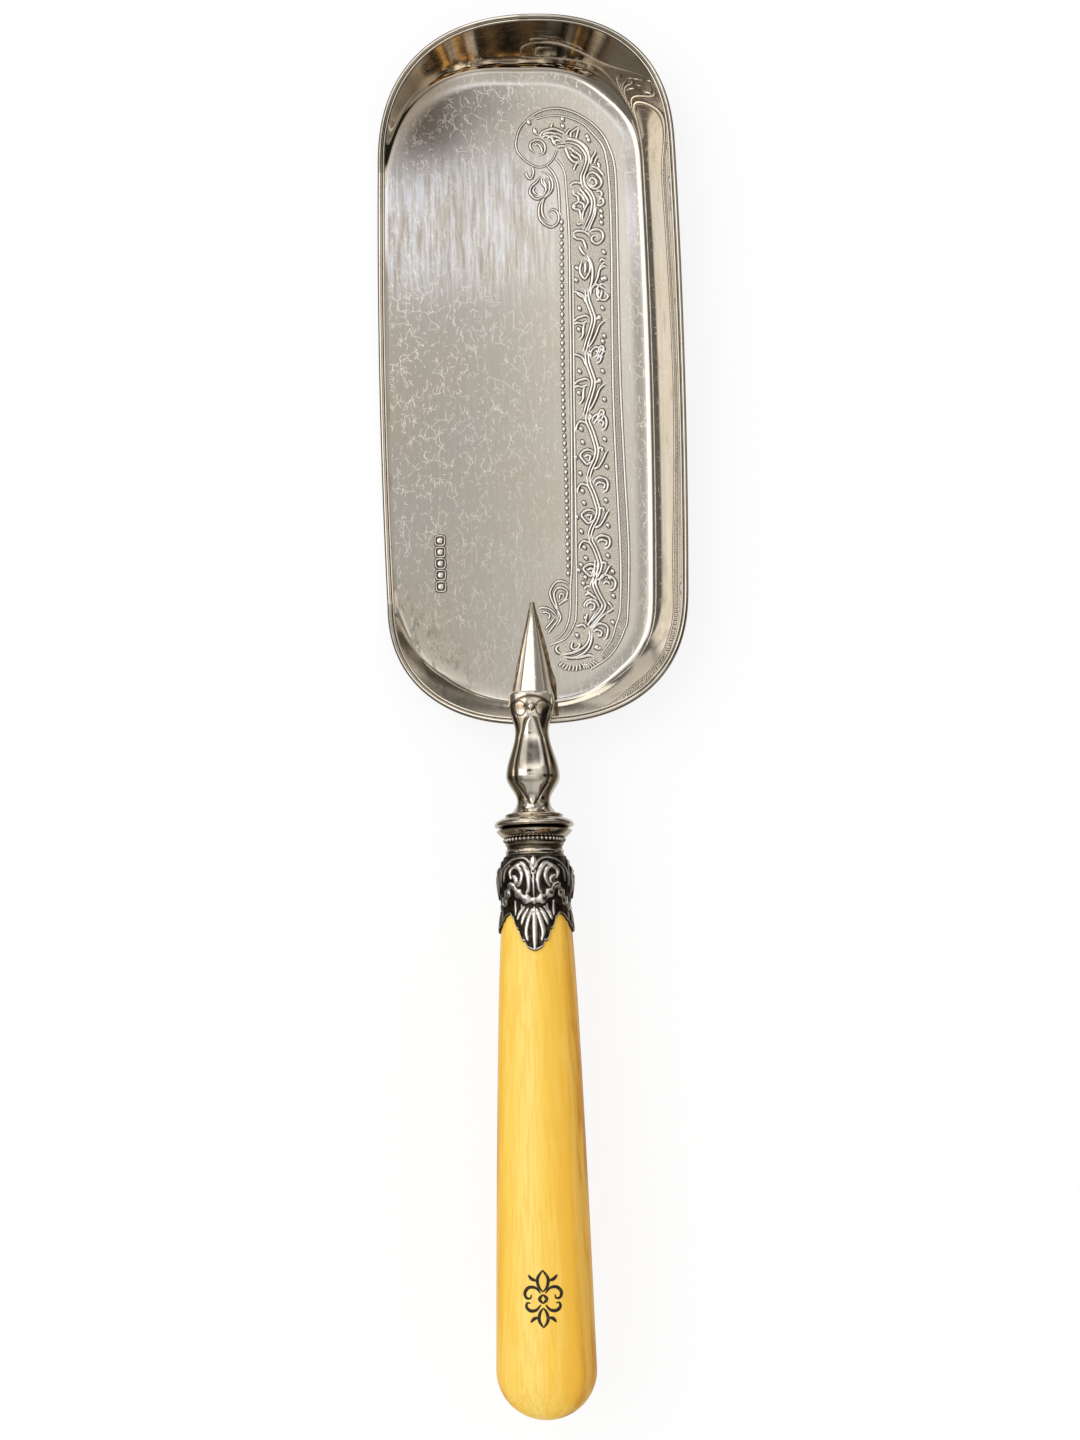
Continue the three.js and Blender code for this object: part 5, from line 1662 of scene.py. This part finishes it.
FLOOR_SIZE = 6.0
FLOOR_GAP = 0.02 * MM
LAMP_SIDE = 1.2
LAMP_TOWARDS = (-0.45, 0.2, 0.9)
LAMP_AWAY = 1.7
CAMERA_PLACE = (27.081 * MM, -44.979 * MM + NEAR_Y, 597.535 * MM)
CAMERA_AXES = ((0.9985, -0.0263, -0.0476), (0.0299, 0.9966, 0.0771), (0.0454, -0.0784, 0.9959))


def unit(vector):
    return vector / np.linalg.norm(vector)


def put(piece, place, axes):
    """Puts an object at a place, with its own x, y and z along the axes."""
    turned = Matrix(np.column_stack(axes).tolist()).to_4x4()
    piece.matrix_world = Matrix.Translation(place) @ turned


def build_stage_scene(settings):
    """Floor, key lamp, world and camera."""
    bpy.ops.mesh.primitive_plane_add(size=FLOOR_SIZE, location=(0, 0, CAD_BOX[0].z - FLOOR_GAP))
    floor = bpy.context.active_object
    floor.name = "pale_floor"
    floor.data.materials.append(floor_finish(settings.floor))
    floor.visible_glossy = False
    lamp = bpy.data.lights.new("key_lamp", "AREA")
    lamp.shape = "RECTANGLE"
    lamp.size, lamp.size_y = LAMP_SIDE, LAMP_SIDE
    lamp.energy = settings.key_power
    key = add_object("key_lamp", lamp)
    key.visible_glossy = False
    away = unit(LAMP_TOWARDS)
    side = unit(np.cross([0, 0, 1], away))
    put(key, (away * LAMP_AWAY).tolist(), (side, np.cross(away, side), away))
    lens = bpy.data.cameras.new("camera")
    lens.sensor_fit = "VERTICAL"
    lens.sensor_height = 36.0
    lens.lens = settings.lens
    lens.clip_start = 0.01
    camera = add_object("camera", lens)
    put(camera, CAMERA_PLACE, CAMERA_AXES)
    bpy.context.scene.camera = camera
    bpy.context.scene.view_settings.view_transform = "Standard"
    light_world()


class CRUMB_OT_stage(bpy.types.Operator):
    """Set up the pale floor, the soft light and the camera"""

    bl_idname = "crumb_catcher.stage"
    bl_label = "Stage"

    def execute(self, context):
        build_stage_scene(context.scene.crumb_stage)
        return {"FINISHED"}


class CRUMB_OT_pan(bpy.types.Operator):
    """Build the pan's floor and wall"""

    bl_idname = "crumb_catcher.pan"
    bl_label = "Pan"

    def execute(self, context):
        scene = context.scene
        piece = build_pan_mesh(scene.crumb_pan, satin_finish(scene.crumb_finishes))
        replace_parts(piece, "pan")
        return {"FINISHED"}


class CRUMB_OT_rim(bpy.types.Operator):
    """Build the two rim wires"""

    bl_idname = "crumb_catcher.rim"
    bl_label = "Rim wires"

    def execute(self, context):
        scene = context.scene
        outline = Outline(scene.crumb_pan)
        colours = scene.crumb_finishes
        finish = polished_finish(colours, "rim_silver_finish", warmth=0.35, stain_share=0.25)
        lip, gallery = outline.lip_stops()
        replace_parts(build_wire_mesh(outline, gallery, "gallery_bead", finish), "gallery_rim_wire")
        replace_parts(build_wire_mesh(outline, lip, "lip_bead", finish), "lip_wire")
        return {"FINISHED"}


class CRUMB_OT_engraving(bpy.types.Operator):
    """Engrave the border, its scrolls and the vine"""

    bl_idname = "crumb_catcher.engraving"
    bl_label = "Engraving"

    def execute(self, context):
        colours = context.scene.crumb_finishes
        build_ground_mesh(ground_finish(colours))
        finish = engraved_finish(colours)
        build_border_mesh(finish)
        build_vine_mesh(finish)
        return {"FINISHED"}


class CRUMB_OT_punches(bpy.types.Operator):
    """Punch a column of plain panels in the floor"""

    bl_idname = "crumb_catcher.punches"
    bl_label = "Punched panels"

    def execute(self, context):
        build_punches_mesh(bpy.data.materials["engraved_silver_finish"])
        return {"FINISHED"}


class CRUMB_OT_spur(bpy.types.Operator):
    """Build the spur and its seam of solder"""

    bl_idname = "crumb_catcher.spur"
    bl_label = "Spur"

    def execute(self, context):
        scene = context.scene
        axis = Axis(scene)
        colours = scene.crumb_finishes
        finish = polished_finish(colours, "spur_silver_finish", warmth=0.25, stain_share=0.2)
        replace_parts(build_spur_mesh(axis, finish), "spur")
        build_solder_mesh(axis, solder_finish(colours))
        return {"FINISHED"}


class CRUMB_OT_shank(bpy.types.Operator):
    """Build the knuckle and the faceted baluster"""

    bl_idname = "crumb_catcher.shank"
    bl_label = "Shank"

    def execute(self, context):
        scene = context.scene
        colours = scene.crumb_finishes
        finish = polished_finish(colours, "shank_silver_finish", warmth=0.6, stain_share=0.25)
        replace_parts(build_shank_mesh(Axis(scene), finish), "shank")
        return {"FINISHED"}


class CRUMB_OT_collar(bpy.types.Operator):
    """Turn the collar, the cap and its ring of beads"""

    bl_idname = "crumb_catcher.collar"
    bl_label = "Collar, cap and beads"

    def execute(self, context):
        scene = context.scene
        axis = Axis(scene)
        colours = scene.crumb_finishes
        finish = bpy.data.materials["shank_silver_finish"]
        dull = polished_finish(colours, "cap_silver_finish", warmth=1.0, stain_share=0.35)
        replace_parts(build_collar_mesh(axis, finish), "collar")
        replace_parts(build_cap_mesh(axis, dull), "ferrule_cap")
        bright = polished_finish(colours, "bead_silver_finish", warmth=0.0, stain_share=0.05, dull=0.16)
        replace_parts(build_beads_mesh(axis, bright), "bead_ring")
        return {"FINISHED"}


class CRUMB_OT_ferrule(bpy.types.Operator):
    """Strike the leaf ferrule"""

    bl_idname = "crumb_catcher.ferrule"
    bl_label = "Ferrule"

    def execute(self, context):
        scene = context.scene
        piece = build_ferrule_mesh(Axis(scene), struck_finish(scene.crumb_finishes))
        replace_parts(piece, "ferrule_shell")
        return {"FINISHED"}


class CRUMB_OT_handle(bpy.types.Operator):
    """Shape the handle and ink its fleuron"""

    bl_idname = "crumb_catcher.handle"
    bl_label = "Handle"

    def execute(self, context):
        scene = context.scene
        axis = Axis(scene)
        colours = scene.crumb_finishes
        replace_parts(build_handle_mesh(axis, ivory_finish(colours)), "handle")
        build_motif_mesh(axis, ink_finish(colours))
        return {"FINISHED"}


class CRUMB_OT_inside(bpy.types.Operator):
    """Finish the tang and the cement inside the handle"""

    bl_idname = "crumb_catcher.inside"
    bl_label = "Tang and cement"

    def execute(self, context):
        colours = context.scene.crumb_finishes
        finishes = {"tang": drawn_steel_finish(colours), "cement_fill": cement_finish(colours)}
        for node, finish in finishes.items():
            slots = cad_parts[node].data.materials
            slots.clear()
            slots.append(finish)
        return {"FINISHED"}


OPERATORS = (
    CRUMB_OT_stage,
    CRUMB_OT_pan,
    CRUMB_OT_rim,
    CRUMB_OT_engraving,
    CRUMB_OT_punches,
    CRUMB_OT_spur,
    CRUMB_OT_shank,
    CRUMB_OT_collar,
    CRUMB_OT_ferrule,
    CRUMB_OT_handle,
    CRUMB_OT_inside,
)


class CRUMB_PT_panel(bpy.types.Panel):
    """Lists the steps that build the crumb catcher"""

    bl_label = "Crumb Catcher"
    bl_idname = "CRUMB_PT_panel"
    bl_space_type = "VIEW_3D"
    bl_region_type = "UI"
    bl_category = "Crumb Catcher"

    def draw(self, context):
        for step in OPERATORS:
            self.layout.operator(step.bl_idname)


GROUPS = {
    "crumb_pan": PanSizes,
    "crumb_spur": SpurSizes,
    "crumb_shank": ShankSizes,
    "crumb_ferrule": FerruleSizes,
    "crumb_handle": HandleSizes,
    "crumb_finishes": Finishes,
    "crumb_stage": StageSettings,
}


def register():
    for kind in (*GROUPS.values(), *OPERATORS, CRUMB_PT_panel):
        bpy.utils.register_class(kind)
    for name, kind in GROUPS.items():
        setattr(bpy.types.Scene, name, PointerProperty(type=kind))


def unregister():
    for name in GROUPS:
        delattr(bpy.types.Scene, name)
    for kind in reversed((*GROUPS.values(), *OPERATORS, CRUMB_PT_panel)):
        bpy.utils.unregister_class(kind)


def main():
    """Builds the whole crumb catcher."""
    register()
    for step in OPERATORS:
        group, name = step.bl_idname.split(".")
        getattr(getattr(bpy.ops, group), name)()


if __name__ == "__main__":
    main()
